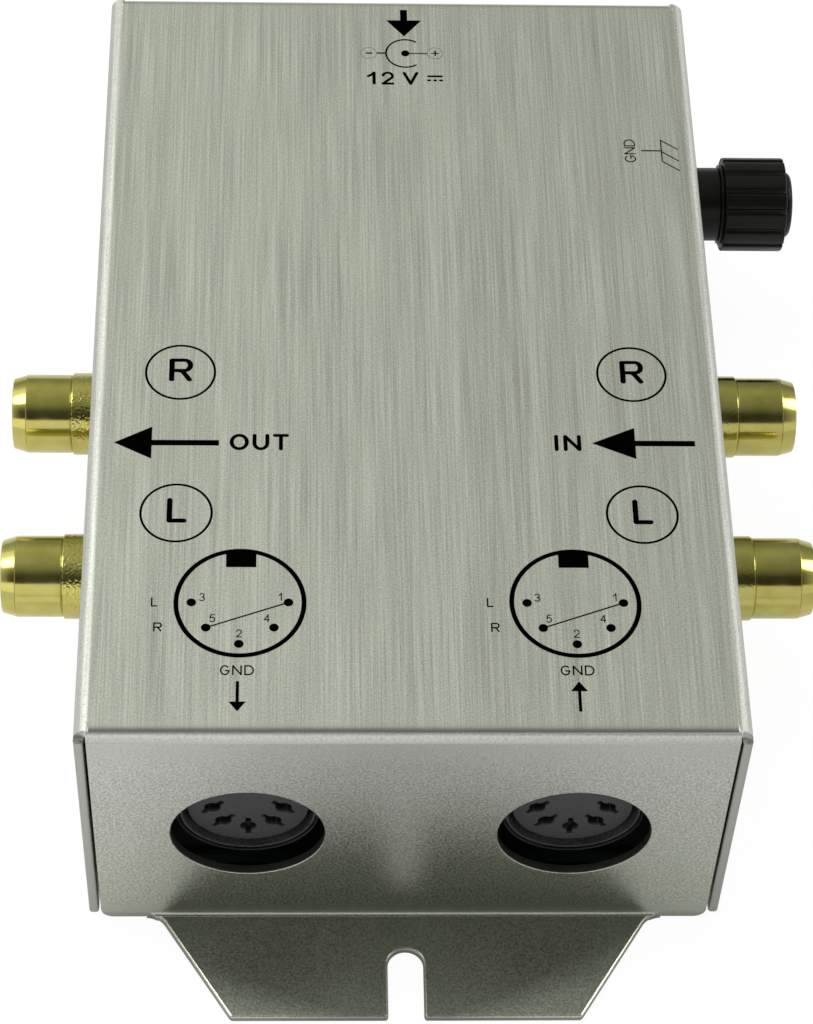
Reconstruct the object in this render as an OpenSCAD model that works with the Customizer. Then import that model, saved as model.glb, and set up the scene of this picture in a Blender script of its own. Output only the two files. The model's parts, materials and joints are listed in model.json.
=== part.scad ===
// Phono preamp in a small folded sheet case.
// Millimetres. +Z is up, the DIN sockets face -Y, the origin is the middle of the footprint
// on the surface that the feet and the tray's floor stand on.

/* [Case] */
// Width of the cover over its side flaps
case_w = 64; // [62:0.5:90]
// Length of the cover over its front and rear flaps
case_l = 98.2; // [96:0.2:140]
// Height of the cover above the surface it stands on
case_h = 34.3; // [30:0.1:50]
// Thickness of the cover's sheet
sheet_t = 1; // [0.8:0.1:1.3]
// Outside radius of the cover's bends
bend_r = 1.5; // [1.4:0.1:2.2]
// Gap between an end flap and the side flaps
flap_gap = 0.2; // [0.2:0.05:0.8]
// Length of the relief at each end of a side bend
corner_relief = 0.6; // [0.3:0.1:1.2]
// Height of the side flaps' lower edges
side_lift = 1; // [1:0.1:2]
// Radius of the side flaps' lower corners
side_corner_r = 0.5; // [0.5:0.1:2]
// Height of the end flaps' lower edges beside the feet
flap_lift = 0.35; // [0.2:0.05:0.6]
// Radius of the end flaps' lower corners
flap_corner_r = 1.3; // [0.5:0.1:1.5]

/* [Feet] */
// Reach of each foot beyond its flap
foot_reach = 11.8; // [10:0.1:18]
// Width of a foot where it leaves its flap
foot_root_w = 50; // [44:0.5:54]
// Width of a foot at its end
foot_tip_w = 35.1; // [24:0.1:42]
// Radius of the fillet between a foot and its flap
foot_fillet_r = 2.2; // [1.5:0.1:3.5]
// Width of the slot in each foot
slot_w = 3.6; // [3.2:0.1:5]
// Depth of each slot, from the foot's end to the middle of its round end
slot_run = 5.9; // [4:0.1:7]

/* [Tray] */
// Thickness of the tray's sheet
tray_t = 1; // [0.8:0.1:1.3]
// Outside radius of the tray's bends
tray_bend_r = 1.4; // [1.4:0.1:2]
// Gap between a tray wall and the side flap outside it
tray_side_gap = 0.15; // [0.1:0.05:0.3]
// Gap between each end of the tray and the flap in front of it
tray_end_gap = 1.6; // [1:0.1:2.5]
// Distance of the cover screws from the case's ends
cover_screw_in = 22.1; // [21.6:0.1:22.5]
// Height of the cover screws
cover_screw_z = 11.2; // [11:0.1:12.5]
// Diameter of the cover screws
cover_screw_d = 3; // [2.5:0.1:3.2]
// Length of a cover screw under its head
cover_screw_l = 4.8; // [4:0.1:5.5]
// Diameter of the cover screws' heads
cover_head_d = 5.5; // [5:0.1:6]
// Height of the cover screws' heads
cover_head_h = 1.6; // [1.2:0.1:2]
// Width of the cross recess in the screws' heads
cross_w = 0.6; // [0.4:0.05:0.8]
// Diameter of the clinch nuts in the tray walls
clinch_d = 5.8; // [5:0.1:6.2]
// Thickness of the clinch nuts
clinch_t = 1.5; // [1.2:0.1:1.8]

/* [Board] */
// Thickness of the circuit board
board_t = 1.6; // [1:0.1:2]
// Gap between the board's ends and the ends of the tray
board_end_gap = 0.5; // [0.3:0.1:1.5]
// Gap between the board's right edge and the tray wall
board_side_gap = 0.65; // [0.4:0.05:1.2]
// How far the board sits to the right of the case's middle
board_x = 0.5; // [0:0.1:0.6]
// Height of the standoffs between tray and board
standoff_h = 5; // [4:0.1:7]
// Width of the hexagonal standoffs across their flats
standoff_af = 4.5; // [4:0.1:5]
// Distance of the standoffs from the board's long edges
standoff_inset = 4.2; // [3.8:0.1:5]
// Distance of the rear standoffs from the board's rear edge
standoff_rear = 5; // [4:0.1:6]
// Gap between the front standoff screws and the DIN sockets
standoff_front_gap = 2.6; // [2:0.1:3]
// Diameter of the board screws
board_screw_d = 2.5; // [2:0.1:2.6]
// Diameter of the board screws' heads
board_head_d = 4.6; // [4:0.1:5]
// Height of the board screws' heads
board_head_h = 1.5; // [1:0.1:2]

/* [Phono jacks] */
// Height of the jack and DIN axes above the board
jack_rise = 9; // [8:0.1:10]
// Distance between the two jacks of a side
jack_pitch = 21.5; // [20:0.1:22]
// Distance from the case's front to the middle between the jacks
jack_front = 41.7; // [41.1:0.1:42.6]
// Reach of the jacks beyond the cover's side faces
jack_reach = 9.9; // [9:0.1:13]
// Diameter of a jack's barrel
barrel_d = 8.4; // [8.2:0.1:8.6]
// Length of the barrel in front of its collar
barrel_l = 6.3; // [5.5:0.1:8]
// Length of the barrel's tapered nose
nose_l = 1.5; // [1:0.1:2]
// How far the nose closes in at its tip
nose_drop = 0.65; // [0.3:0.05:0.7]
// Diameter of the collar at the root of the barrel
collar_d = 8.8; // [8.7:0.1:9.4]
// Wall of the jack's shell
shell_t = 0.9; // [0.8:0.05:1.1]
// Length of the shell inside the jack's body
shell_seat = 3; // [2:0.1:5]
// Depth of the insulator's face inside the tip
insulator_recess = 0.6; // [0.2:0.1:1]
// Diameter of the hole for the plug's centre pin
pin_hole_d = 3.5; // [3.4:0.1:3.8]
// Depth of the centre contact behind the insulator's face
contact_recess = 1; // [0.5:0.1:2]
// Inside diameter of the centre contact
contact_bore = 3.3; // [3.2:0.05:3.35]
// Wall of the centre contact
contact_t = 0.4; // [0.3:0.05:0.5]
// Length of the centre contact
contact_l = 9; // [6:0.1:9.5]
// Width of a jack's plastic body along the case
jack_body_w = 10; // [9.6:0.1:11]
// Depth of a jack's plastic body
jack_body_l = 9; // [7:0.1:10]
// Height of a jack's plastic body above its axis
jack_body_up = 4.9; // [4.6:0.1:6]
// Gap between a jack's body and the tray wall
jack_body_gap = 0.35; // [0.2:0.05:0.6]
// Clearance around the collars in the case's openings
collar_gap = 0.3; // [0.2:0.05:0.6]

/* [DIN sockets] */
// Distance between the two sockets
din_pitch = 32; // [28:0.1:33]
// How far the pair sits to the right of the case's middle
din_x = 0.2; // [0:0.1:0.5]
// Diameter of the holes in the front flap
din_hole_d = 15.1; // [14.6:0.1:16]
// Diameter of the socket's front collar
din_collar_d = 14.2; // [14:0.1:14.4]
// Distance of the collar behind the flap's outer face
din_collar_back = 2.3; // [2:0.1:3]
// Distance of the insert's face behind the flap's outer face
din_face_back = 3; // [2.5:0.1:4]
// Length of the collar in front of the body
din_collar_l = 1.2; // [1:0.1:2]
// Diameter of the insert's face
din_face_d = 11.9; // [11.6:0.1:12]
// Inside diameter of the ring gap around the insert
din_ring_d = 13.5; // [13.3:0.05:13.6]
// Depth of the ring gap
din_ring_depth = 8; // [7:0.1:9]
// Distance of the shield ring behind the collar's front
din_shield_back = 0.2; // [0.1:0.05:0.6]
// Thickness of the rear plate, behind the insert and the shield ring
din_plate_t = 1; // [0.6:0.1:2]
// Thickness of the shield ring
din_shield_t = 0.25; // [0.2:0.05:0.3]
// Diameter of the circle that the contacts lie on
din_circle_d = 7; // [6.9:0.05:7.2]
// Diameter of a contact opening
din_opening_d = 1.6; // [1.5:0.05:1.7]
// Length of a contact opening, in front of the contact's chamber
din_land_l = 1.5; // [1.2:0.1:3]
// Length of the slit across a contact opening
din_slit_l = 3; // [2.6:0.1:3.1]
// Width of the slit across a contact opening
din_slit_w = 0.5; // [0.4:0.05:0.6]
// Depth of the slits
din_slit_depth = 1; // [0.5:0.1:2]
// Length of the contacts
din_contact_l = 4; // [3:0.1:4.2]
// Wall of the contacts
din_contact_t = 0.2; // [0.15:0.01:0.25]
// Width of the keyway at the top of the insert
din_key_w = 2.6; // [2:0.1:3]
// Depth of the keyway
din_key_d = 0.9; // [0.6:0.1:1]
// Width of a socket's body
din_body_w = 18; // [16:0.1:19]
// Depth of a socket's body
din_body_l = 12; // [10:0.1:13]
// Height of a socket's body above its axis
din_body_up = 9; // [7.5:0.1:10]

/* [Power inlet] */
// Distance of the inlet to the right of the case's middle
inlet_x = 0.6; // [0:0.1:4]
// Height of the inlet's axis above the board
inlet_rise = 6.5; // [5.5:0.1:8]
// Diameter of the hole in the rear flap
inlet_hole_d = 9.5; // [8:0.1:11]
// Gap between the inlet and the rear flap
inlet_gap = 0.5; // [0.3:0.1:1]
// Width of the inlet's body
inlet_w = 9; // [8.5:0.1:10]
// Depth of the inlet's body
inlet_l = 14; // [13:0.1:15]
// Height of the inlet's body above its axis
inlet_up = 4.4; // [4.2:0.1:5]
// Diameter of the round socket
inlet_bore = 6.3; // [5.8:0.1:6.5]
// Depth of the round socket
inlet_depth = 10; // [9:0.1:11]
// Diameter of the centre pin
inlet_pin_d = 2.1; // [2:0.1:2.5]
// Length of the centre pin
inlet_pin_l = 9; // [8:0.1:9.5]
// Length of the pin's root in the body
inlet_root = 1; // [0.5:0.1:2]
// Distance of the spring contact behind the inlet's face
inlet_spring_back = 2; // [1:0.1:4]
// Thickness of the spring contact's strip
inlet_spring_t = 0.3; // [0.2:0.05:0.4]
// Width of the spring contact's strip
inlet_spring_w = 1.6; // [1:0.1:2]

/* [Ground post] */
// Distance of the post from the case's rear
post_rear = 14.7; // [12:0.1:14.7]
// Diameter of the bush outside the case
bush_d = 8.3; // [7:0.1:9]
// Length of the bush outside the case
bush_l = 4.7; // [3:0.1:6]
// Diameter of the bush's shoulder in the side flap
shoulder_d = 6; // [5.5:0.1:6.4]
// Diameter of the stud
stud_d = 4; // [3.5:0.1:4.2]
// Pitch of the stud's thread
stud_pitch = 0.7; // [0.5:0.05:1]
// Diameter of the stud's flange
flange_d = 5.6; // [5.2:0.1:6]
// Thickness of the stud's flange
flange_t = 0.8; // [0.5:0.1:1.2]
// Diameter of the clamp washer
washer_d = 9; // [8:0.1:10]
// Thickness of the clamp washer
washer_t = 0.4; // [0.3:0.1:0.8]
// Diameter of the thumb nut over its ribs
nut_d = 10.6; // [10:0.1:12]
// Length of the thumb nut's ribbed part
nut_l = 6.9; // [6.8:0.1:9]
// Number of ribs on the thumb nut
nut_ribs = 14; // [8:1:16]
// Diameter of the cutter for the grooves between the ribs
groove_d = 0.6; // [0.6:0.1:1.2]
// Diameter of the disc on the thumb nut's end
hub_d = 7.4; // [6:0.1:8]
// Height of the disc on the thumb nut's end
hub_l = 1; // [0.6:0.1:1.4]
// Thickness of the nut behind the blind end of its bore
nut_end_t = 0.3; // [0.2:0.1:0.6]
// Gap between the stud's end and the end of the nut's bore
stud_end_gap = 0.2; // [0.1:0.05:0.5]
// Gap between the stud and the nut's bore behind the insert
nut_bore_gap = 0.3; // [0.2:0.05:0.5]
// Distance of the insert behind the nut's inner face
insert_back = 0.3; // [0.1:0.05:0.6]
// Outside diameter of the thumb nut's threaded insert
insert_d = 6.3; // [6:0.1:7]
// Length of the threaded insert
insert_l = 6; // [5:0.1:6]
// Diameter of the washer inside the case
inner_washer_d = 8.2; // [7.5:0.1:8.4]
// Thickness of the washer inside the case
inner_washer_t = 1.5; // [1.5:0.1:2]
// Gap between that washer and the notch in the tray wall
notch_gap = 1; // [0.5:0.1:1.5]
// Thickness of the solder lug
lug_t = 0.5; // [0.4:0.1:0.8]
// Diameter of the solder lug's ring
lug_d = 7.4; // [6.5:0.1:8]
// Reach of the lug's tail below the post's axis
lug_reach = 7.4; // [6.5:0.1:7.6]
// Width of the lug's tail
lug_w = 2.4; // [2.2:0.1:3]
// Thickness of the lock washer
lock_t = 0.8; // [0.6:0.1:1.2]
// Diameter of the lock washer
lock_d = 7.4; // [6.5:0.1:8]
// Width of the hex nut across its flats
hex_af = 7; // [6.5:0.1:7.4]
// Thickness of the hex nut
hex_t = 3.2; // [2.5:0.1:3.5]
// Length of the stud beyond the hex nut
stud_tail = 1; // [0.5:0.1:2]
// Diameter of the ground wire over its insulation
wire_d = 1.4; // [1.2:0.1:1.6]
// Radius of the ground wire's bend
wire_bend = 2.5; // [2:0.1:2.8]
// Length of the straight wire in the lug's eye
wire_lead = 0.6; // [0.5:0.05:1]
// Diameter of the ground pad on the board
pad_d = 2.6; // [2:0.1:3]
// Thickness of the ground pad
pad_t = 0.1; // [0.05:0.05:0.2]

/* [Electronics] */
// Length of an op-amp's package
chip_l = 9.4; // [9:0.1:10]
// Width of an op-amp's package
chip_w = 6.4; // [6:0.1:7]
// Thickness of an op-amp's package
chip_h = 3.3; // [3:0.1:3.6]
// Gap under an op-amp's package
chip_gap = 0.7; // [0.4:0.1:1]
// Distance between an op-amp's legs
leg_pitch = 2.54; // [2.5:0.01:2.6]
// Distance between the two op-amps
chip_pitch = 15; // [13.4:0.1:16]
// Length of a film capacitor
film_l = 7.2; // [6.5:0.1:7.5]
// Width of a film capacitor
film_w = 3.5; // [2.5:0.1:4]
// Height of a film capacitor
film_h = 7.5; // [6:0.1:9]
// Distance between the film capacitors in a row
film_pitch = 6; // [5:0.1:7]
// Diameter of a coupling capacitor
can_d = 6.3; // [5:0.1:6.6]
// Height of a coupling capacitor
can_h = 11; // [9:0.1:13]
// Distance between the coupling capacitors
can_pitch = 8.6; // [8:0.1:9]
// Diameter of a supply capacitor
supply_d = 8; // [6.3:0.1:8.4]
// Height of a supply capacitor
supply_h = 14; // [11:0.1:16]
// Distance between the supply capacitors
supply_pitch = 21.2; // [16:0.1:24]
// Depth of the crimp near a capacitor's foot
can_crimp = 0.3; // [0.2:0.05:0.5]
// Gap between parts on the board
part_gap = 0.8; // [0.5:0.1:1.2]
// Length of a resistor's body
resistor_l = 6.3; // [5.5:0.1:6.6]
// Diameter of a resistor's body
resistor_d = 2.3; // [1.8:0.1:2.5]
// Distance between neighbouring resistors
resistor_pitch = 3.2; // [3:0.1:3.6]
// Diameter of the leads on resistors and capacitors
lead_d = 0.6; // [0.5:0.05:0.8]
// Reach of the leads beyond a resistor's or diode's body
lead_reach = 1; // [0.8:0.1:1.4]
// Size of a ceramic capacitor
ceramic_w = 4; // [3:0.1:4.4]
// Thickness of a ceramic capacitor
ceramic_t = 1.8; // [1.4:0.1:2.2]
// Diameter of the regulator's package
regulator_d = 4.8; // [4.4:0.1:5.2]
// Height of the regulator's package
regulator_h = 4.6; // [4.2:0.1:5]
// Length of the protection diode
diode_l = 5; // [4.5:0.1:5.4]
// Diameter of the protection diode
diode_d = 2.7; // [2.2:0.1:2.8]

/* [Fits] */
// Radial clearance of pieces that fit into each other
fit = 0.05; // [0.03:0.01:0.08]
// Clearance of a screw in its hole, on the diameter
screw_play = 0.3; // [0.2:0.05:0.5]

/* [Hidden] */
$fn = 64;

LEFT = -1;
RIGHT = 1;

// Cover
half_w = case_w / 2;
half_l = case_l / 2;
inner_r = bend_r - sheet_t;
flap_w = case_w - 2 * (sheet_t + flap_gap);
foot_slant = atan((foot_root_w - foot_tip_w) / 2 / foot_reach);
fillet_run = foot_fillet_r * tan((90 - foot_slant) / 2);
slot_y = half_l + foot_reach - slot_run;

// Tray
tray_half = half_w - sheet_t - tray_side_gap;
tray_in = tray_half - tray_t;
tray_l = case_l - 2 * (sheet_t + tray_end_gap);
cover_screw_y = half_l - cover_screw_in;

// Board
board_w = 2 * (tray_in - board_side_gap - board_x);
board_l = tray_l - 2 * board_end_gap;
board_z = tray_t + standoff_h;
board_top = board_z + board_t;
axis_z = board_top + jack_rise;

// Phono jacks, counted outwards from the board's middle line
jack_mid_y = jack_front - half_l;
left_y = jack_mid_y - jack_pitch / 2;
right_y = jack_mid_y + jack_pitch / 2;
jack_tip = half_w + jack_reach;
jack_step = jack_tip - barrel_l;
jack_face = tray_in - jack_body_gap - board_x;
shell_r = barrel_d / 2 - shell_t;
insulator_face = jack_tip - insulator_recess;
contact_face = insulator_face - contact_recess;
opening_d = collar_d + 2 * collar_gap;

// DIN sockets
din_collar_y = -half_l + din_collar_back;
din_face_y = -half_l + din_face_back;
din_body_y = din_collar_y + din_collar_l;
din_plate_y = din_collar_y + din_ring_depth - din_plate_t;
din_contact_d = din_opening_d + 2 * din_contact_t;
din_rear_y = din_body_y + din_body_l;
din_places = [din_x - din_pitch / 2, din_x + din_pitch / 2];

// Standoffs and the screws in them
standoff_x = board_w / 2 - standoff_inset;
standoff_ys = [din_rear_y + standoff_front_gap + board_head_d / 2, board_l / 2 - standoff_rear];
standoff_bore = board_screw_d + 2 * fit;

// Power inlet
inlet_y = half_l - sheet_t - inlet_gap;
inlet_z = board_top + inlet_rise;

// Ground post, counted along +X
post_y = half_l - post_rear;
bush_end = half_w + bush_l;
nut_start = bush_end + washer_t;
nut_end = nut_start + nut_l;
stud_end = nut_end - nut_end_t - stud_end_gap;
stud_bore = stud_d + 2 * fit;
wall_in = half_w - sheet_t;
lug_x = wall_in - inner_washer_t;
lock_x = lug_x - lug_t;
hex_x = lock_x - lock_t;
stud_start = hex_x - hex_t - stud_tail;
post_notch_d = inner_washer_d + 2 * notch_gap;
eye_z = axis_z - lug_reach + lug_w / 2;
wire_x = lock_x - wire_bend - wire_lead;

// Space for the electronics, from the board's middle line to the jack bodies
zone_x = jack_face - jack_body_l - part_gap;
film_x = zone_x - film_l / 2;
bank_y = right_y + jack_body_w / 2 + part_gap;
supply_y = bank_y + can_d + 2 * part_gap + supply_d / 2;
resistor_x = standoff_x - board_head_d / 2 - part_gap - lead_d / 2 - lead_reach - resistor_l / 2;
gold = [0.75, 0.68, 0.36];
sheet = [0.68, 0.69, 0.63];
black = [0.1, 0.1, 0.1];

// ---- Shared shapes ----

// Quarter of a ring, from the +X axis to the +Y axis
module quarter_ring(outer, inner) {
    intersection() {
        difference() {
            circle(r = outer);
            circle(r = inner);
        }
        square(outer);
    }
}

// Screw head on the z = 0 plane, with a bevelled rim and a cross recess
module screw_head(d, h) {
    arm = d * 0.56;
    difference() {
        rotate_extrude() polygon([[0, 0], [d / 2, 0], [d / 2, h * 0.5], [d / 2 - h * 0.4, h], [0, h]]);
        for (turn = [0, 90]) rotate(turn)
            translate([-arm / 2, -cross_w / 2, h * 0.4]) cube([arm, cross_w, h]);
    }
}

// A profile drawn with X and Z, pulled along Y
module along_y(length) {
    rotate([90, 0, 0]) linear_extrude(height = length, center = true) children();
}

// A profile drawn with Y and Z, pulled along X
module along_x(length) {
    rotate([90, 0, 90]) linear_extrude(height = length, center = true) children();
}

// A round bar that starts at the origin and runs along +X, or along -X when the length is negative
module bar_x(d, length) {
    rotate([0, length < 0 ? -90 : 90, 0]) cylinder(d = d, h = abs(length));
}

// A round bar that starts at the origin and runs along +Y
module bar_y(d, length) {
    rotate([-90, 0, 0]) cylinder(d = d, h = length);
}

// A tube that starts at the origin and runs along +X
module tube_x(d, bore, length) {
    rotate([0, 90, 0]) linear_extrude(height = length) difference() {
        circle(d = d);
        circle(d = bore);
    }
}

// A flap's outline with its two lower corners rounded
module flap_outline(width, low, high, r) {
    translate([-width / 2, low + r]) square([width, high - low - r]);
    translate([-width / 2 + r, low]) square([width - 2 * r, r]);
    for (s = [-1, 1]) translate([s * (width / 2 - r), low + r]) circle(r = r);
}

// ---- Cover ----

module side_flap() {
    translate([half_w - bend_r, 0, case_h - bend_r])
        along_y(case_l - 2 * corner_relief) quarter_ring(bend_r, inner_r);
    translate([half_w - sheet_t / 2, 0, 0])
        along_x(sheet_t) flap_outline(case_l, side_lift, case_h - bend_r, side_corner_r);
}

// Seen from above: slanted sides, a fillet at each side of the root and the open slot
module foot_plan() {
    root = foot_root_w / 2;
    tip = foot_tip_w / 2;
    outer = root + fillet_run;
    touch_x = root - fillet_run * sin(foot_slant);
    touch_y = half_l + fillet_run * cos(foot_slant);
    difference() {
        polygon([
            [-outer, half_l - sheet_t], [outer, half_l - sheet_t],
            [outer, half_l + foot_fillet_r], [touch_x, touch_y], [tip, half_l + foot_reach],
            [-tip, half_l + foot_reach], [-touch_x, touch_y], [-outer, half_l + foot_fillet_r]
        ]);
        for (s = [-1, 1]) translate([s * outer, half_l + foot_fillet_r]) circle(r = foot_fillet_r);
        translate([0, slot_y]) circle(d = slot_w);
        translate([-slot_w / 2, slot_y]) square([slot_w, slot_run + 1]);
    }
}

module foot() {
    intersection() {
        along_x(case_w) {
            translate([half_l + inner_r, bend_r]) rotate(180) quarter_ring(bend_r, inner_r);
            translate([half_l + inner_r, 0]) square([foot_reach - inner_r, sheet_t]);
        }
        linear_extrude(height = bend_r) foot_plan();
    }
}

module end_flap() {
    root = foot_root_w / 2 + fillet_run;
    translate([0, half_l - bend_r, case_h - bend_r]) along_x(flap_w) quarter_ring(bend_r, inner_r);
    translate([0, half_l - sheet_t / 2, 0]) along_y(sheet_t) difference() {
        flap_outline(flap_w, flap_lift, case_h - bend_r, flap_corner_r);
        translate([-root, 0]) square([2 * root, bend_r]);
    }
    foot();
}

module cover() {
    color(sheet) difference() {
        union() {
            translate([bend_r - half_w, bend_r - half_l, case_h - sheet_t])
                cube([case_w - 2 * bend_r, case_l - 2 * bend_r, sheet_t]);
            side_flap();
            mirror([1, 0, 0]) side_flap();
            end_flap();
            mirror([0, 1, 0]) end_flap();
        }
        // Slots that let the cover drop over the jacks
        for (y = [left_y, right_y]) translate([0, y, 0]) along_x(case_w + 2) {
            translate([0, axis_z]) circle(d = opening_d);
            translate([-opening_d / 2, 0]) square([opening_d, axis_z]);
        }
        for (y = [-1, 1] * cover_screw_y) translate([-half_w - 1, y, cover_screw_z])
            bar_x(cover_screw_d + screw_play, case_w + 2);
        for (x = din_places) translate([x, -half_l - 1, axis_z]) bar_y(din_hole_d, sheet_t + 2);
        translate([inlet_x, half_l - sheet_t - 1, inlet_z]) bar_y(inlet_hole_d, sheet_t + 2);
        translate([wall_in - 1, post_y, axis_z]) bar_x(shoulder_d + 2 * fit, sheet_t + 2);
    }
}

// ---- Tray and its fasteners ----

module tray_wall() {
    translate([tray_half - tray_bend_r, tray_bend_r]) rotate(-90)
        quarter_ring(tray_bend_r, tray_bend_r - tray_t);
    translate([tray_in, tray_bend_r]) square([tray_t, axis_z - tray_bend_r]);
}

module base_tray() {
    color(sheet) difference() {
        along_y(tray_l) {
            translate([tray_bend_r - tray_half, 0]) square([2 * (tray_half - tray_bend_r), tray_t]);
            tray_wall();
            mirror([1, 0]) tray_wall();
        }
        // Half-round seats under the jacks, which close the cover's slots
        for (y = [left_y, right_y]) translate([-half_w, y, axis_z]) bar_x(opening_d, case_w);
        translate([0, post_y, axis_z]) bar_x(post_notch_d, half_w);
        for (y = [-1, 1] * cover_screw_y) translate([-half_w, y, cover_screw_z])
            bar_x(cover_screw_d + screw_play, case_w);
        at_standoffs() translate([0, 0, -1]) cylinder(d = standoff_af - 1 + 2 * fit, h = tray_t + 2);
    }
}

// Each side of the case, drawn for the right-hand one
module both_sides() {
    children();
    mirror([1, 0, 0]) children();
}

module clinch_nuts() {
    color("silver") both_sides() for (y = [-1, 1] * cover_screw_y)
        translate([tray_in - clinch_t, y, cover_screw_z]) tube_x(clinch_d, cover_screw_d + 2 * fit, clinch_t);
}

module cover_screws() {
    color("silver") both_sides() for (y = [-1, 1] * cover_screw_y) translate([half_w, y, cover_screw_z]) {
        bar_x(cover_screw_d, -cover_screw_l);
        rotate([0, 90, 0]) screw_head(cover_head_d, cover_head_h);
    }
}

module at_standoffs() {
    for (x = [-1, 1] * standoff_x, y = standoff_ys) translate([board_x + x, y, 0]) children();
}

module board_standoffs() {
    color([0.78, 0.7, 0.42]) at_standoffs() difference() {
        union() {
            cylinder(d = standoff_af - 1, h = tray_t);
            translate([0, 0, tray_t]) rotate(30) cylinder(d = standoff_af / cos(30), h = standoff_h, $fn = 6);
        }
        translate([0, 0, tray_t]) cylinder(d = standoff_bore, h = standoff_h + 1);
    }
}

module board_screws() {
    color("silver") at_standoffs() {
        translate([0, 0, tray_t + 1]) cylinder(d = board_screw_d, h = standoff_h + board_t - 1);
        translate([0, 0, board_top]) screw_head(board_head_d, board_head_h);
    }
}

module circuit_board() {
    color([0.12, 0.36, 0.2]) difference() {
        translate([board_x - board_w / 2, -board_l / 2, board_z]) cube([board_w, board_l, board_t]);
        at_standoffs() translate([0, 0, board_z - 1])
            cylinder(d = board_screw_d + screw_play, h = board_t + 2);
    }
}

// ---- Phono jacks, drawn along +X from the board's middle line ----

module at_jack(side, y) {
    translate([board_x, y, axis_z]) mirror([side == LEFT ? 1 : 0, 0, 0]) children();
}

module jack_body(side, y) {
    color(black) at_jack(side, y) difference() {
        translate([jack_face - jack_body_l, -jack_body_w / 2, -jack_rise])
            cube([jack_body_l, jack_body_w, jack_rise + jack_body_up]);
        translate([jack_face - shell_seat, 0, 0]) bar_x(barrel_d + 2 * fit, shell_seat + 1);
    }
}

module jack_shell(side, y) {
    barrel_r = barrel_d / 2;
    color(gold) at_jack(side, y) rotate([0, 90, 0]) rotate_extrude() polygon([
        [shell_r, jack_face - shell_seat],
        [barrel_r, jack_face - shell_seat],
        [barrel_r, jack_face],
        [collar_d / 2, jack_face],
        [collar_d / 2, jack_step],
        [barrel_r, jack_step],
        [barrel_r, jack_tip - nose_l],
        [barrel_r - nose_drop / 4, jack_tip - nose_l / 2],
        [barrel_r - nose_drop, jack_tip],
        [shell_r, jack_tip]
    ]);
}

module jack_insulator(side, y, tint) {
    color(tint) at_jack(side, y) difference() {
        translate([jack_face - shell_seat, 0, 0])
            bar_x(2 * (shell_r - fit), insulator_face - jack_face + shell_seat);
        translate([contact_face, 0, 0]) bar_x(pin_hole_d, contact_recess + 1);
        translate([contact_face - contact_l, 0, 0])
            bar_x(contact_bore + 2 * (contact_t + fit), contact_l + 0.01);
    }
}

module jack_contact(side, y) {
    color(gold) at_jack(side, y) translate([contact_face - contact_l, 0, 0])
        tube_x(contact_bore + 2 * contact_t, contact_bore, contact_l);
}

// ---- DIN sockets ----

module din_body(x) {
    color(black) translate([x, 0, axis_z]) difference() {
        union() {
            translate([-din_body_w / 2, din_body_y, -jack_rise])
                cube([din_body_w, din_body_l, jack_rise + din_body_up]);
            translate([0, din_collar_y, 0]) bar_y(din_collar_d, din_collar_l);
        }
        translate([0, din_collar_y - 1, 0]) bar_y(din_ring_d, din_ring_depth + 1);
    }
}

module din_shield(x) {
    shield_d = din_ring_d - 2 * fit;
    color([0.2, 0.2, 0.2]) translate([x, din_collar_y + din_shield_back, axis_z]) rotate([-90, 0, 0])
        linear_extrude(height = din_plate_y - din_collar_y - din_shield_back) difference() {
            circle(d = shield_d);
            circle(d = shield_d - 2 * din_shield_t);
        }
}

module din_plate(x) {
    color(black) translate([x, din_plate_y, axis_z]) bar_y(din_ring_d - 2 * fit, din_plate_t);
}

// The five places lie on the lower half of the contact circle, each slit leaning towards the middle
module at_din_contacts() {
    slit_lean = [45, 45, 90, 135, 135];
    for (i = [0:4]) translate([cos(180 + 45 * i), 0, sin(180 + 45 * i)] * din_circle_d / 2)
        rotate([0, -slit_lean[i], 0]) children();
}

// Each contact opening widens into a chamber that runs through to the rear plate
module din_insert(x) {
    length = din_plate_y - din_face_y;
    color([0.2, 0.2, 0.2]) translate([x, din_face_y, axis_z]) difference() {
        bar_y(din_face_d, length);
        at_din_contacts() {
            translate([0, -1, 0]) bar_y(din_opening_d, length);
            translate([0, din_land_l, 0]) bar_y(din_contact_d + 2 * fit, length);
            translate([-din_slit_l / 2, -1, -din_slit_w / 2])
                cube([din_slit_l, din_slit_depth + 1, din_slit_w]);
        }
        translate([-din_key_w / 2, -1, din_face_d / 2 - din_key_d])
            cube([din_key_w, length + 2, din_key_d + 1]);
    }
}

module din_contacts(x) {
    color(gold) translate([x, din_plate_y - din_contact_l, axis_z]) at_din_contacts() rotate([-90, 0, 0])
        linear_extrude(height = din_contact_l) difference() {
            circle(d = din_contact_d);
            circle(d = din_opening_d);
        }
}

// ---- Power inlet ----

module inlet_body() {
    color(black) translate([inlet_x, 0, inlet_z]) difference() {
        translate([-inlet_w / 2, inlet_y - inlet_l, -inlet_rise])
            cube([inlet_w, inlet_l, inlet_rise + inlet_up]);
        translate([0, inlet_y - inlet_depth, 0]) bar_y(inlet_bore, inlet_depth + 1);
        // Seat of the pin's root
        translate([0, inlet_y - inlet_depth - inlet_root, 0]) bar_y(inlet_pin_d + 2 * fit, inlet_root + 1);
        // Groove of the spring contact, below the round socket
        translate([-inlet_spring_w / 2 - fit, inlet_y - inlet_depth, -inlet_bore / 2 - inlet_spring_t])
            cube([inlet_spring_w + 2 * fit, inlet_depth - inlet_spring_back, inlet_bore / 2]);
    }
}

module inlet_pin() {
    color("silver") translate([inlet_x, inlet_y - inlet_depth - inlet_root, inlet_z])
        bar_y(inlet_pin_d, inlet_pin_l + inlet_root);
}

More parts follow.
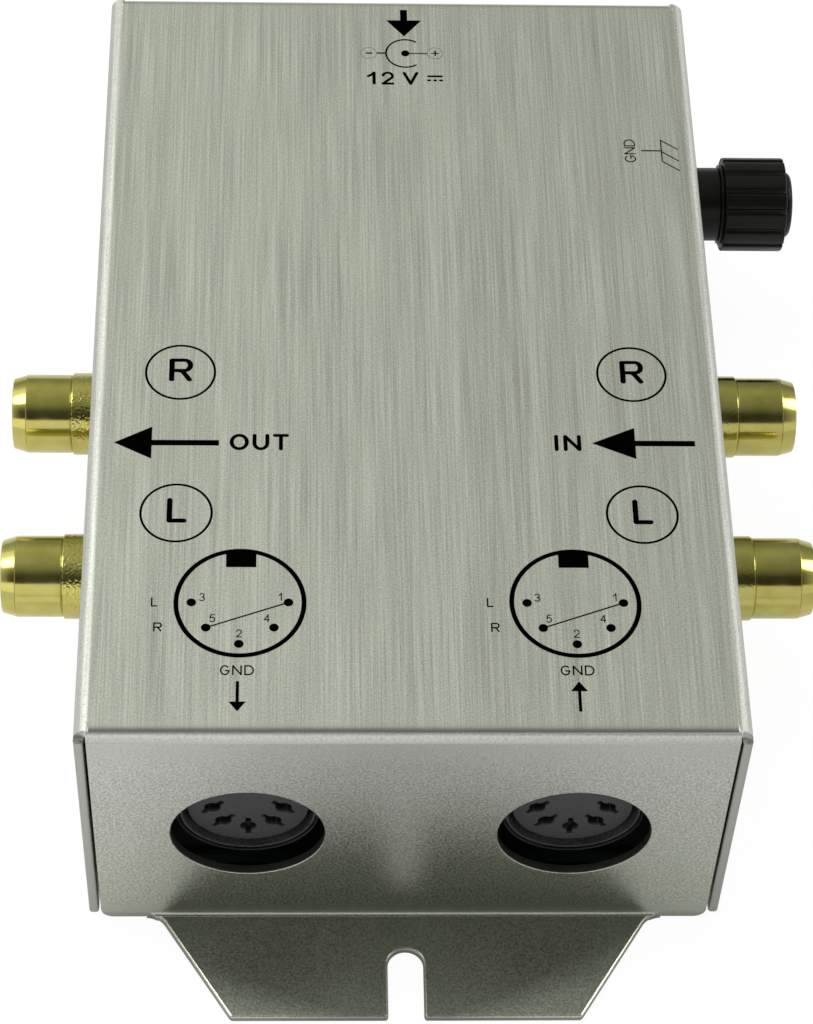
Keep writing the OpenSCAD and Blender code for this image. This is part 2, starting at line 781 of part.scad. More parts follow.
module inlet_spring() {
    under = inlet_z - inlet_bore / 2 - inlet_spring_t;
    color("silver") translate([inlet_x - inlet_spring_w / 2, inlet_y - inlet_depth, under])
        cube([inlet_spring_w, inlet_depth - inlet_spring_back, inlet_spring_t]);
}

// ---- Ground post, from the outside to the inside ----

module at_post(x) {
    translate([x, post_y, axis_z]) children();
}

module thumb_nut() {
    color(black) difference() {
        union() {
            at_post(nut_start) difference() {
                bar_x(nut_d, nut_l);
                for (i = [0:nut_ribs - 1]) rotate([i * 360 / nut_ribs, 0, 0])
                    translate([-1, 0, nut_d / 2]) bar_x(groove_d, nut_l + 2);
            }
            at_post(nut_end) rotate([0, 90, 0]) rotate_extrude() polygon([
                [0, 0], [hub_d / 2, 0], [hub_d / 2, hub_l * 0.55],
                [hub_d / 2 - hub_l * 0.35, hub_l * 0.85], [hub_d / 2 - hub_l * 1.2, hub_l], [0, hub_l]
            ]);
        }
        at_post(nut_start - 1) bar_x(insert_d + 2 * fit, insert_l + insert_back + 1);
        at_post(nut_start) bar_x(stud_d + 2 * nut_bore_gap, nut_l - nut_end_t);
    }
}

module thumb_nut_insert() {
    color(gold) at_post(nut_start + insert_back) tube_x(insert_d, stud_bore, insert_l);
}

module clamp_washer() {
    color(black) at_post(bush_end) tube_x(washer_d, stud_bore, washer_t);
}

module post_bush() {
    color(black) at_post(0) difference() {
        union() {
            translate([half_w, 0, 0]) bar_x(bush_d, bush_l);
            translate([wall_in, 0, 0]) bar_x(shoulder_d, sheet_t);
        }
        translate([wall_in - 1, 0, 0]) bar_x(stud_bore, sheet_t + bush_l + 2);
        translate([bush_end - flange_t, 0, 0]) bar_x(flange_d + 2 * fit, flange_t + 1);
    }
}

// The chamfers at both ends are as deep as the thread
module post_stud() {
    thread = 0.6 * stud_pitch;
    color("silver") at_post(0) {
        rotate([0, 90, 0]) rotate_extrude() polygon([
            [0, stud_start], [stud_d / 2 - thread, stud_start], [stud_d / 2, stud_start + thread],
            [stud_d / 2, stud_end - thread], [stud_d / 2 - thread, stud_end], [0, stud_end]
        ]);
        translate([bush_end - flange_t, 0, 0]) bar_x(flange_d, flange_t);
    }
}

module post_inner_washer() {
    color(black) at_post(lug_x) tube_x(inner_washer_d, stud_bore, inner_washer_t);
}

// Ring with a tail that hangs down to an eye for the wire
module post_lug() {
    tail = lug_reach - lug_w / 2;
    color("silver") at_post(lock_x) rotate([90, 0, 90]) linear_extrude(height = lug_t) difference() {
        union() {
            circle(d = lug_d);
            translate([-lug_w / 2, -tail]) square([lug_w, tail]);
            translate([0, -tail]) circle(d = lug_w);
        }
        circle(d = stud_bore);
        translate([0, -tail]) circle(d = wire_d / 2 + 2 * fit);
    }
}

module post_lock_washer() {
    color("silver") at_post(hex_x) tube_x(lock_d, stud_bore, lock_t);
}

module post_hex_nut() {
    color("silver") at_post(hex_x - hex_t) rotate([0, 90, 0]) difference() {
        cylinder(d = hex_af / cos(30), h = hex_t, $fn = 6);
        translate([0, 0, -1]) cylinder(d = stud_bore, h = hex_t + 2);
    }
}

// From the lug's eye inwards, then down onto the pad
module ground_wire() {
    color([0.45, 0.5, 0.08]) translate([wire_x, post_y, eye_z]) {
        translate([wire_bend, 0, 0]) bar_x(wire_d, lock_x - wire_x - wire_bend);
        translate([wire_bend, 0, -wire_bend]) rotate([90, 0, 0]) rotate([0, 0, 90])
            rotate_extrude(angle = 90) translate([wire_bend, 0]) circle(d = wire_d);
        translate([0, 0, board_top + pad_t - eye_z])
            cylinder(d = wire_d, h = eye_z - wire_bend - board_top - pad_t);
    }
}

module ground_pad() {
    color("silver") translate([wire_x, post_y, board_top]) cylinder(d = pad_d, h = pad_t);
}

// ---- Electronics, standing on the board ----

module on_board(x, y) {
    translate([board_x + x, y, board_top]) children();
}

module op_amps() {
    leg_w = 0.5;
    leg_t = 0.3;
    for (s = [-1, 1]) on_board(0, jack_mid_y + s * chip_pitch / 2) {
        color([0.12, 0.12, 0.13]) difference() {
            translate([-chip_w / 2, -chip_l / 2, chip_gap]) cube([chip_w, chip_l, chip_h]);
            translate([0, -chip_l / 2, chip_gap + chip_h - 0.5]) cylinder(d = 2, h = 1);
        }
        color("silver") for (side = [-1, 1], i = [-1.5:1.5]) translate([side * chip_w / 2, i * leg_pitch, 0])
            translate([side > 0 ? 0 : -2 * leg_t, -leg_w / 2, 0]) {
                cube([2 * leg_t, leg_w, chip_gap + chip_h * 0.55]);
            }
    }
}

module film_capacitors() {
    color([0.66, 0.14, 0.12]) for (side = [-1, 1], i = [-1.5:1.5])
        on_board(side * film_x, jack_mid_y + i * film_pitch)
            translate([-film_l / 2, -film_w / 2, 0]) cube([film_l, film_w, film_h]);
}

// Can with a crimped groove near its foot
module can(d, h) {
    rotate_extrude() polygon([
        [0, 0], [d / 2, 0], [d / 2, h * 0.1], [d / 2 - can_crimp, h * 0.13], [d / 2, h * 0.16],
        [d / 2, h - can_crimp], [d / 2 - can_crimp, h], [0, h]
    ]);
}

module coupling_capacitors() {
    color([0.1, 0.12, 0.3]) for (i = [-1.5:1.5])
        on_board(i * can_pitch, bank_y + can_d / 2) can(can_d, can_h);
}

module supply_capacitors() {
    color([0.1, 0.12, 0.3]) for (side = [-1, 1])
        on_board(side * supply_pitch / 2, supply_y) can(supply_d, supply_h);
}

// Lies on the board along X, with a bent lead at each end
module axial_part(body_l, body_d) {
    reach = body_l / 2 + lead_reach;
    translate([-body_l / 2, 0, body_d / 2]) bar_x(body_d, body_l);
    for (s = [-1, 1]) {
        translate([s * body_l / 2, 0, body_d / 2]) bar_x(lead_d, s * (lead_reach + lead_d / 2));
        translate([s * reach, 0, 0]) cylinder(d = lead_d, h = body_d / 2);
    }
}

module resistors() {
    color([0.35, 0.5, 0.62]) for (side = [-1, 1], i = [0:2])
        on_board(side * resistor_x, din_rear_y + part_gap + resistor_d / 2 + i * resistor_pitch)
            axial_part(resistor_l, resistor_d);
}

module ceramic_capacitors() {
    color([0.8, 0.55, 0.2]) for (s = [-1, 1])
        on_board(0, jack_mid_y + s * (chip_pitch / 2 + chip_l / 2 + part_gap + ceramic_t / 2))
            translate([-ceramic_w / 2, -ceramic_t / 2, 0]) cube([ceramic_w, ceramic_t, ceramic_w]);
}

// Round-backed package on three short legs
module regulator() {
    leg_h = 1.5;
    on_board(-inlet_w / 2 - part_gap - regulator_d, inlet_y - regulator_d) {
        color([0.12, 0.12, 0.13]) translate([0, 0, leg_h]) difference() {
            cylinder(d = regulator_d, h = regulator_h);
            translate([-regulator_d, -regulator_d * 1.3, -1])
                cube([2 * regulator_d, regulator_d, regulator_h + 2]);
        }
        color("silver") for (i = [-1:1]) translate([i * 1.27, 0.3, 0]) cylinder(d = 0.5, h = leg_h);
    }
}

module protection_diode() {
    color([0.1, 0.1, 0.1]) on_board(inlet_w / 2 + part_gap + diode_l, inlet_y - diode_d * 1.5)
        axial_part(diode_l, diode_d);
}

// ---- Nodes ----

cover();
base_tray();
clinch_nuts();
cover_screws();
board_standoffs();
circuit_board();
board_screws();

jack_body(LEFT, left_y);  // out_l_body
jack_shell(LEFT, left_y);  // out_l_shell
jack_insulator(LEFT, left_y, "white");  // out_l_insulator
jack_contact(LEFT, left_y);  // out_l_contact
jack_body(LEFT, right_y);  // out_r_body
jack_shell(LEFT, right_y);  // out_r_shell
jack_insulator(LEFT, right_y, "firebrick");  // out_r_insulator
jack_contact(LEFT, right_y);  // out_r_contact
jack_body(RIGHT, left_y);  // in_l_body
jack_shell(RIGHT, left_y);  // in_l_shell
jack_insulator(RIGHT, left_y, "white");  // in_l_insulator
jack_contact(RIGHT, left_y);  // in_l_contact
jack_body(RIGHT, right_y);  // in_r_body
jack_shell(RIGHT, right_y);  // in_r_shell
jack_insulator(RIGHT, right_y, "firebrick");  // in_r_insulator
jack_contact(RIGHT, right_y);  // in_r_contact

din_body(din_places[0]);  // din_out_body
din_shield(din_places[0]);  // din_out_shield
din_plate(din_places[0]);  // din_out_plate
din_insert(din_places[0]);  // din_out_insert
din_contacts(din_places[0]);  // din_out_contacts
din_body(din_places[1]);  // din_in_body
din_shield(din_places[1]);  // din_in_shield
din_plate(din_places[1]);  // din_in_plate
din_insert(din_places[1]);  // din_in_insert
din_contacts(din_places[1]);  // din_in_contacts

inlet_body();
inlet_pin();
inlet_spring();

post_bush();
post_stud();
post_inner_washer();
post_lug();
post_lock_washer();
post_hex_nut();
clamp_washer();
thumb_nut();
thumb_nut_insert();
ground_wire();
ground_pad();

op_amps();
film_capacitors();
coupling_capacitors();
supply_capacitors();
resistors();
ceramic_capacitors();
regulator();
protection_diode();
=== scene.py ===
"""Looks of the phono preamp: rounded edges, finishes, printed signs, stage, lamps and camera."""

import json
import math

import bmesh
import bpy
from mathutils import Euler, Matrix, Vector

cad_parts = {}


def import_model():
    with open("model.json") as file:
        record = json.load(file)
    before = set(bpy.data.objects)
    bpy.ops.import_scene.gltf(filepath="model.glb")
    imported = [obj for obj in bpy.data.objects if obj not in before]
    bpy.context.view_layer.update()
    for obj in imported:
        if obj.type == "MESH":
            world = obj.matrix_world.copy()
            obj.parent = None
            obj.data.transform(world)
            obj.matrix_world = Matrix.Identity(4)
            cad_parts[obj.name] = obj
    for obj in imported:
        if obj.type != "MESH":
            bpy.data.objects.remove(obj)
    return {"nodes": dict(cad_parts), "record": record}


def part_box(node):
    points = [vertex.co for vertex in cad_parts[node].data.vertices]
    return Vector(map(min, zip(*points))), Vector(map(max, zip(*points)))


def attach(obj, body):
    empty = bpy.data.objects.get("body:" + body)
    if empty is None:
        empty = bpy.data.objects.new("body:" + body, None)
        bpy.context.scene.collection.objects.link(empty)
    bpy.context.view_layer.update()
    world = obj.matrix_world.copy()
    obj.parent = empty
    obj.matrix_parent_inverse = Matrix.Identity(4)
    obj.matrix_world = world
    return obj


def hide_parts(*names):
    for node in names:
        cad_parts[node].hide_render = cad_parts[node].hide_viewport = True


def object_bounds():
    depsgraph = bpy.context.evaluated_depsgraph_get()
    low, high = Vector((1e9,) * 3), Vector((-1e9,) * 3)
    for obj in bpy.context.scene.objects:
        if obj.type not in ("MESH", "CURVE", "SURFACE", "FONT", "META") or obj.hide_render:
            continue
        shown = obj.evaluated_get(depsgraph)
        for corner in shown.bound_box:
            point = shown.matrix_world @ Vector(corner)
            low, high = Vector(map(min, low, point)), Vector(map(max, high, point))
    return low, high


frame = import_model()
cad_box = [list(corner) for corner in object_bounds()]

MM = 0.001
JOIN = 1e-6
CAD = frame["nodes"]
SIDES = ("out", "in")
CHANNELS = ("l", "r")
BLACK = (0, 0, 0, 1)
WHITE = (1, 1, 1, 1)

# Sockets of a Mix node that blends two colours
MIX_SHARE, MIX_FIRST, MIX_SECOND, MIX_RESULT = 0, 6, 7, 2

# The bent cover: half_w and half_l run to the outer faces of its flaps, and each foot reaches on from there
sheet_t = 1 * MM
bend_r = 1.5 * MM
foot_reach = 11.8 * MM
foot_root_w = 50 * MM
fillet_run = 1.6 * MM
case_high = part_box("cover")[1]
top_z = case_high.z
half_w = case_high.x
half_l = case_high.y - foot_reach
side_flap_in = half_w - sheet_t

# The phono jacks: their places along X are counted from the middle of the board
shell_low, shell_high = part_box("in_l_shell")
board_x = (shell_high.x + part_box("out_l_shell")[0].x) / 2
jack_back = shell_low.x - board_x
jack_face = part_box("in_l_body")[1].x - board_x
jack_tip = shell_high.x - board_x
barrel_l = 6.3 * MM
jack_step = jack_tip - barrel_l
collar_r = (shell_high.z - shell_low.z) / 2
barrel_r = 4.2 * MM
bore_r = 3.3 * MM


# ---- Nodes of a finish ----

def add(tree, kind, inputs=None, **settings):
    """Adds a shader node and fills or joins its inputs."""
    made = tree.nodes.new("ShaderNode" + kind)
    for key, value in settings.items():
        setattr(made, key, value)
    for key, value in (inputs or {}).items():
        if isinstance(value, bpy.types.NodeSocket):
            tree.links.new(value, made.inputs[key])
        else:
            made.inputs[key].default_value = value
    return made


def calc(tree, how, *values):
    """One step of arithmetic between sockets and numbers."""
    return add(tree, "Math", dict(enumerate(values)), operation=how).outputs[0]


def chain(tree, how, first, others):
    """The same step for each further value in turn."""
    for other in others:
        first = calc(tree, how, first, other)
    return first


def times(tree, first, *others):
    """The product of the values."""
    return chain(tree, "MULTIPLY", first, others)


def total(tree, first, *others):
    """The sum of the values."""
    return chain(tree, "ADD", first, others)


def greatest(tree, first, *others):
    """The greatest of the values."""
    return chain(tree, "MAXIMUM", first, others)


def less(tree, first, second):
    """The first value less the second."""
    return calc(tree, "SUBTRACT", first, second)


def away(tree, value, middle=0.0):
    """How far the value is from the middle, to either side."""
    return calc(tree, "ABSOLUTE", less(tree, value, middle))


def above(tree, value, limit):
    """1 where the value is above the limit, else 0."""
    return calc(tree, "GREATER_THAN", value, limit)


def below(tree, value, limit):
    """1 where the value is below the limit, else 0."""
    return calc(tree, "LESS_THAN", value, limit)


def spread(tree, value, low, high, start=0.0, end=1.0):
    """Maps start..end to low..high, held at both ends."""
    inputs = {"Value": value, "From Min": start, "From Max": end, "To Min": low, "To Max": high}
    return add(tree, "MapRange", inputs).outputs[0]


def axes(tree, vector):
    """The X, Y and Z of a place or a direction."""
    return add(tree, "SeparateXYZ", {"Vector": vector}).outputs


def noise(tree, where, scale, detail=2.0):
    """Cloudy noise from 0 to 1, with features of about 1 / scale metres."""
    return add(tree, "TexNoise", {"Vector": where, "Scale": scale, "Detail": detail}).outputs[0]


def streaks(tree, place, sizes, detail):
    """Cloudy noise whose features have a size of their own along each axis."""
    shares = [calc(tree, "DIVIDE", part, size) for part, size in zip(place, sizes)]
    return noise(tree, add(tree, "CombineXYZ", dict(enumerate(shares))).outputs[0], 1.0, detail)


def ramp(tree, value, *stops):
    """A colour that changes along the stops (place, colour)."""
    made = add(tree, "ValToRGB", {"Fac": value})
    band = made.color_ramp.elements
    for i, (place, colour) in enumerate(stops):
        stop = band[i] if i < 2 else band.new(place)
        stop.position = place
        stop.color = (*colour, 1)
    return made.outputs["Color"]


def mixed(tree, share, first, second, how="MIX"):
    """A colour between the first and the second, or the two put together another way."""
    inputs = {MIX_SHARE: share, MIX_FIRST: first, MIX_SECOND: second}
    return add(tree, "Mix", inputs, data_type="RGBA", blend_type=how).outputs[MIX_RESULT]


def bump(tree, height, depth, strength=1.0):
    """A relief of the given depth in metres."""
    inputs = {"Height": height, "Distance": depth, "Strength": strength}
    return add(tree, "Bump", inputs).outputs["Normal"]


def tint(colour, factor):
    """The colour made lighter or darker."""
    return tuple(min(1.0, part * factor) for part in colour)


def finish(name, colour, rough, metal=0.0, **fixed):
    """A new material with its even values on the shader's own sockets."""
    made = bpy.data.materials.new(name)
    made.use_nodes = True
    tree = made.node_tree
    shader = tree.nodes["Principled BSDF"].inputs
    shader["Base Color"].default_value = (*colour, 1)
    shader["Roughness"].default_value = rough
    shader["Metallic"].default_value = metal
    for key, value in fixed.items():
        shader[key.replace("_", " ")].default_value = value
    where = add(tree, "TexCoord").outputs["Object"]
    return made, tree, shader, where


def drive(tree, shader, **outputs):
    """Joins node outputs to the shader."""
    for key, output in outputs.items():
        tree.links.new(output, shader[key.replace("_", " ")])


def ray_kinds(tree):
    """1 for rays from the camera, and 1 for those that come by way of a mirror finish or glass."""
    rays = add(tree, "LightPath").outputs
    return rays["Is Camera Ray"], greatest(tree, rays["Is Glossy Ray"], rays["Is Transmission Ray"])


# ---- The brushed sheet ----

def facing(tree, part):
    """1 where this part of the surface's direction is large."""
    return spread(tree, part, 0.0, 1.0, 0.4, 0.8)


def edge_on(tree, part):
    """1 where this part of the surface's direction is small."""
    return spread(tree, part, 1.0, 0.0, 0.3, 0.75)


def cut_edges(tree, place):
    """1 on the sheared edges of the cover's feet, side flaps and end flaps, else 0."""
    face = axes(tree, add(tree, "TexCoord").outputs["Normal"])
    long = away(tree, place[1])
    lengthwise = away(tree, face[1])
    foot = times(tree, above(tree, long, half_l + 0.6 * MM), edge_on(tree, away(tree, face[2])))
    on_side = above(tree, away(tree, place[0]), side_flap_in - 0.05 * MM)
    end_or_under = greatest(tree, facing(tree, lengthwise), facing(tree, times(tree, face[2], -1.0)))
    in_flap = below(tree, away(tree, long, half_l - sheet_t / 2), sheet_t / 2 + 0.05 * MM)
    middle = top_z / 2
    off_bends = below(tree, away(tree, place[2], middle), middle - bend_r - 0.1 * MM)
    flap = times(tree, in_flap, off_bends, edge_on(tree, lengthwise), less(tree, 1.0, on_side))
    return greatest(tree, foot, times(tree, on_side, end_or_under), flap)


def brushing(tree, place, line):
    """Fine and broad lines along the case, which run on down the side flaps: 0 is their middle tone."""
    past_bend = above(tree, away(tree, place[0]), half_w - bend_r * 0.7)
    drop = times(tree, less(tree, top_z, place[2]), past_bend)
    across = total(tree, place[0], times(tree, drop, calc(tree, "SIGN", place[0])))
    unrolled = (across, place[1], place[2])
    fine = streaks(tree, unrolled, (line, 16 * MM, 16 * MM), 3.0)
    broad = streaks(tree, unrolled, (line * 9, 60 * MM, 60 * MM), 2.0)
    return total(tree, times(tree, less(tree, fine, 0.5), 0.95),
                 times(tree, less(tree, broad, 0.5), 0.35))


def grit_share(tree, place, on_end, on_flap):
    """How strongly the grain shows: most on the end flaps, and less again near their top bend."""
    near_top = spread(tree, place[2], 1.0, 0.35, top_z - 8 * MM, top_z - 2.5 * MM)
    calmer = greatest(tree, near_top, less(tree, 1.0, on_end))
    return times(tree, spread(tree, on_end, 0.75, 1.3), spread(tree, on_flap, 1.0, 1.4), calmer)


def painted_shade_below_top(tree, place, painted_top_light):
    """Painted shade: how far flaps and feet are darkened from the top's tone, except at the feet's outer
    corners, which are painted light.
    """
    long = away(tree, place[1])
    past_flap = less(tree, long, half_l)
    flaps = spread(tree, place[2], 1.0 - 1.0 / painted_top_light, 0.0, top_z - 1.2 * MM, top_z - 0.3 * MM)
    feet = times(tree, spread(tree, place[2], 0.13, 0.0, 0.9 * MM, 1.6 * MM),
                 spread(tree, long, 0.0, 1.0, half_l - 0.8 * MM, half_l))
    to_corner = total(tree, away(tree, place[0]), times(tree, place[0], 0.13),
                      times(tree, past_flap, 2.25))
    off_corner = spread(tree, to_corner, 1.0, 0.0, 30.7 * MM, 39.5 * MM)
    in_shade = greatest(tree, off_corner, below(tree, past_flap, sheet_t / 2))
    return times(tree, total(tree, flaps, feet), in_shade)


def cut_colour(tree, place, colour, painted_top_light):
    """The colour of sheared edges, paler on the side flaps."""
    on_side = above(tree, away(tree, place[0]), side_flap_in - 0.1 * MM)
    shades = [(*tint(colour, level / painted_top_light), 1) for level in (0.6, 0.84)]
    return mixed(tree, on_side, *shades)


def brushed_sheet(name, colour, contrast, rough, line=0.17 * MM, dull_ends=0.12, end_rough=0.0,
                  painted_top_light=1.0):
    """Sheet brushed along the case, grainy end flaps and feet, own-tone cut edges, and painted light, shade
    and reflection.
    """
    made, tree, shader, where = finish(name, colour, rough, 1.0)
    place = axes(tree, where)
    wide, long = [away(tree, place[i]) for i in (0, 1)]
    flap_start = half_l - bend_r
    on_end = spread(tree, long, 0.0, 1.0, flap_start, half_l - bend_r * 0.4)
    on_flap = times(tree, on_end, spread(tree, place[2], 0.0, 1.0, 1.2 * MM, 3.0 * MM))
    on_bend = times(tree, spread(tree, long, 0.0, 1.0, flap_start - 0.2 * MM, flap_start + 0.1 * MM),
                    spread(tree, place[2], 0.0, 1.0, top_z - 2.2 * MM, top_z - 1.6 * MM))
    cut = cut_edges(tree, place)
    # Painted shade: the cut edges of the holes in the end flaps are darkened towards black in the base
    # colour.
    hole_edge_shade = times(tree, below(tree, wide, 26 * MM), above(tree, place[2], 3 * MM))

    swing = times(tree, brushing(tree, place, line), spread(tree, on_end, 1.0, dull_ends))
    grit = less(tree, noise(tree, where, spread(tree, on_flap, 5600.0, 4300.0), 1.0), 0.5)
    tone = total(tree, swing, times(tree, grit, grit_share(tree, place, on_end, on_flap)), 0.5)
    low, high = 0.22, 0.78

    sheet = ramp(tree, tone, (low, tint(colour, 1 - contrast)), (high, tint(colour, 1 + contrast)))
    # Painted reflection: the lower part of the end flaps is tinted green-yellow.
    painted_reflection_share = times(tree, on_end, spread(tree, place[2], 0.09, 0.0, 10 * MM, 24 * MM))
    sheet_with_painted_reflection = mixed(tree, painted_reflection_share, sheet, (0.62, 0.87, 0.12, 1))
    # Painted shade: flaps and feet are darkened from the top's tone, and painted light keeps the feet's
    # outer corners lighter.
    darker = mixed(tree, painted_shade_below_top(tree, place, painted_top_light), sheet_with_painted_reflection, BLACK)
    edged = mixed(tree, times(tree, cut, 0.85), darker, cut_colour(tree, place, colour, painted_top_light))
    gloss = spread(tree, tone, rough - 0.05, rough + 0.05, low, high)
    relief = times(tree, total(tree, swing, grit), spread(tree, on_bend, 1.0, 0.15))
    drive(tree, shader,
          Base_Color=mixed(tree, times(tree, cut, hole_edge_shade, 0.55), edged, BLACK),
          Roughness=total(tree, gloss, times(tree, on_end, end_rough), times(tree, cut, 0.1),
                          times(tree, on_bend, -0.012)),
          Normal=bump(tree, relief, 0.006 * MM, 0.3))
    return made


# ---- Other finishes ----

def gold_plate(name):
    """Gold plating: a turned barrel and a pitted collar, with deeper pits on the output side."""
    gold, dark_gold, pale_gold = (0.53, 0.48, 0.14), (0.48, 0.43, 0.11), (0.58, 0.53, 0.17)
    made, tree, shader, where = finish(name, gold, 0.16, 1.0)
    place = axes(tree, where)
    on_collar = spread(tree, away(tree, place[0], board_x), 1.0, 0.0, jack_step, jack_step + 0.05 * MM)
    pitted = spread(tree, place[0], 1.0, 0.3, -1 * MM, 1 * MM)
    dents = times(tree, noise(tree, where, 3400.0, 1.0), on_collar, pitted)
    clouds = noise(tree, where, 420.0, 3.0)
    turning = streaks(tree, place, (0.22 * MM, 9 * MM, 9 * MM), 2.0)
    waves = noise(tree, where, 700.0, 1.0)
    relief = total(tree, times(tree, dents, 3.4), times(tree, waves, 0.35), times(tree, turning, 0.1))
    drive(tree, shader,
          Base_Color=ramp(tree, clouds, (0.3, dark_gold), (0.7, pale_gold)),
          Roughness=spread(tree, clouds, 0.11, 0.2, 0.3, 0.7),
          Normal=bump(tree, relief, 0.03 * MM, 0.5))
    return made


def plain_metal(name, colour, rough, scale=900.0, depth=0.01 * MM):
    """Plated or bare metal with a faint cloud in its gloss."""
    made, tree, shader, where = finish(name, colour, rough, 1.0)
    clouds = noise(tree, where, scale, 3.0)
    drive(tree, shader,
          Base_Color=ramp(tree, clouds, (0.3, tint(colour, 0.86)), (0.7, tint(colour, 1.1))),
          Roughness=spread(tree, clouds, rough * 0.8, rough * 1.25, 0.3, 0.7),
          Normal=bump(tree, clouds, depth, 0.3))
    return made


def moulded(name, colour, rough, grain=0.1 * MM, speckle=0.12, depth=0.012 * MM, **fixed):
    """Moulded plastic: fine grain, with slightly uneven colour and gloss."""
    made, tree, shader, where = finish(name, colour, rough, 0.0, **fixed)
    fine = noise(tree, where, 1.0 / grain, 2.0)
    clouds = noise(tree, where, 260.0, 2.0)
    tone = total(tree, times(tree, fine, 0.7), times(tree, clouds, 0.3))
    drive(tree, shader,
          Base_Color=ramp(tree, tone, (0.3, tint(colour, 1 - speckle)), (0.7, tint(colour, 1 + speckle))),
          Roughness=spread(tree, clouds, rough - 0.05, rough + 0.05, 0.3, 0.7),
          Normal=bump(tree, fine, depth, 0.5))
    return made


def socket_face(name, colour, front):
    """Speckled plastic of a socket face, with painted shade inside its pin openings."""
    made, tree, shader, where = finish(name, colour, 0.55)
    # Painted shade: the colour goes towards black deeper behind the socket face.
    pin_hole_shade = spread(tree, axes(tree, where)[1], 0.0, 0.85, front + 0.1 * MM, front + 0.5 * MM)
    fine = noise(tree, where, 1.0 / (0.12 * MM), 2.0)
    shades = ramp(tree, fine, (0.3, tint(colour, 0.55)), (0.7, tint(colour, 1.45)))
    drive(tree, shader,
          Base_Color=mixed(tree, pin_hole_shade, shades, BLACK),
          Roughness=spread(tree, fine, 0.5, 0.62, 0.3, 0.7),
          Normal=bump(tree, fine, 0.02 * MM, 0.5))
    return made


def printed_board(name):
    """Very dark green solder mask over a woven laminate, with copper runs showing as a paler green."""
    mask, run = (0.002, 0.009, 0.004), (0.004, 0.02, 0.008)
    made, tree, shader, where = finish(name, mask, 0.45, 0.0, Specular_IOR_Level=0.15)
    weave = add(tree, "TexWave", {"Vector": where, "Scale": 1400.0, "Distortion": 0.6}).outputs[1]
    cells = add(tree, "TexBrick", {"Vector": where, "Scale": 160.0, "Mortar Size": 0.12}).outputs[1]
    relief = total(tree, cells, times(tree, weave, 0.2))
    drive(tree, shader,
          Base_Color=ramp(tree, cells, (0.0, mask), (1.0, run)),
          Normal=bump(tree, relief, 0.03 * MM, 0.4))
    return made


def striped_sleeve(name, base, stripe, pitch, share, rough=0.4):
    """A sleeve or coat with upright bands, such as a capacitor's mark or a wire's stripe."""
    made, tree, shader, where = finish(name, base, rough)
    place = axes(tree, where)
    turn = calc(tree, "FRACT", calc(tree, "DIVIDE", total(tree, place[0], place[1]), pitch))
    fine = noise(tree, where, 3000.0, 2.0)
    drive(tree, shader,
          Base_Color=ramp(tree, below(tree, turn, share), (0.0, base), (1.0, stripe)),
          Roughness=spread(tree, fine, rough - 0.08, rough + 0.08, 0.3, 0.7),
          Normal=bump(tree, fine, 0.01 * MM, 0.3))
    return made


SHEET = (0.52, 0.526, 0.482)
INK = (0.0008, 0.0008, 0.0008)
insert_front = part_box("din_out_insert")[0].y
FINISHES = {
    # The cover's colour is raised by 1.35 and its flaps and feet take painted shade down to 1 / 1.5 of it,
    # so the top is painted lighter.
    "sheet_metal": brushed_sheet("brushed_sheet", tint(SHEET, 1.35), 0.26, 0.33,
                                 end_rough=0.02, painted_top_light=1.5),
    "tray_sheet": brushed_sheet("tray_sheet", tint(SHEET, 0.95), 0.1, 0.4,
                                line=0.4 * MM, dull_ends=1.0),
    "gold_plate": gold_plate("gold_plate"),
    "black_plastic": moulded("black_plastic", (0.004, 0.004, 0.003), 0.36, Specular_IOR_Level=0.24),
    "insert_plastic": socket_face("socket_face_plastic", (0.06, 0.063, 0.062), insert_front),
    "dark_steel": moulded("dark_ring", (0.06, 0.06, 0.068), 0.4,
                          grain=0.22 * MM, speckle=0.9, depth=0.06 * MM, Specular_IOR_Level=0.7),
    "white_plastic": moulded("white_plastic", (0.75, 0.74, 0.7), 0.35, grain=0.3 * MM, speckle=0.03),
    "red_plastic": moulded("red_plastic", (0.45, 0.02, 0.02), 0.35, grain=0.3 * MM, speckle=0.06),
    "nickel_steel": plain_metal("nickel_steel", (0.58, 0.56, 0.52), 0.28),
    "brass_part": plain_metal("brass_part", (0.66, 0.5, 0.22), 0.3),
    "board_laminate": printed_board("printed_board"),
    "wire_cover": striped_sleeve("wire_cover", (0.10, 0.28, 0.03), (0.7, 0.6, 0.05),
                                 pitch=2.2 * MM, share=0.4),
    "chip_plastic": moulded("chip_plastic", (0.018, 0.018, 0.019), 0.6,
                            grain=0.12 * MM, speckle=0.2, depth=0.02 * MM),
    "film_box": moulded("film_box", (0.5, 0.03, 0.02), 0.3, grain=0.4 * MM, speckle=0.05),
    "can_sleeve": striped_sleeve("can_sleeve", (0.012, 0.014, 0.03), (0.5, 0.5, 0.45),
                                 pitch=9.0 * MM, share=0.14, rough=0.3),
    "resistor_coat": striped_sleeve("resistor_coat", (0.10, 0.30, 0.42), (0.25, 0.08, 0.02),
                                    pitch=1.6 * MM, share=0.35),
    "ceramic_coat": moulded("ceramic_coat", (0.55, 0.33, 0.1), 0.5, grain=0.3 * MM, speckle=0.08),
}


# ---- Pieces ----

def new_object(name, shape):
    """Makes a finished bmesh an object of the scene."""
    mesh = bpy.data.meshes.new(name)
    shape.to_mesh(mesh)
    shape.free()
    made = bpy.data.objects.new(name, mesh)
    bpy.context.scene.collection.objects.link(made)
    return made


def piece(name, shape, material, body="case", stands_for=()):
    """Makes a finished bmesh a piece that rides on a body and may stand for CAD nodes."""
    made = new_object(name, shape)
    made.data.materials.append(material)
    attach(made, body)
    if stands_for:
        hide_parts(*stands_for)
    return made


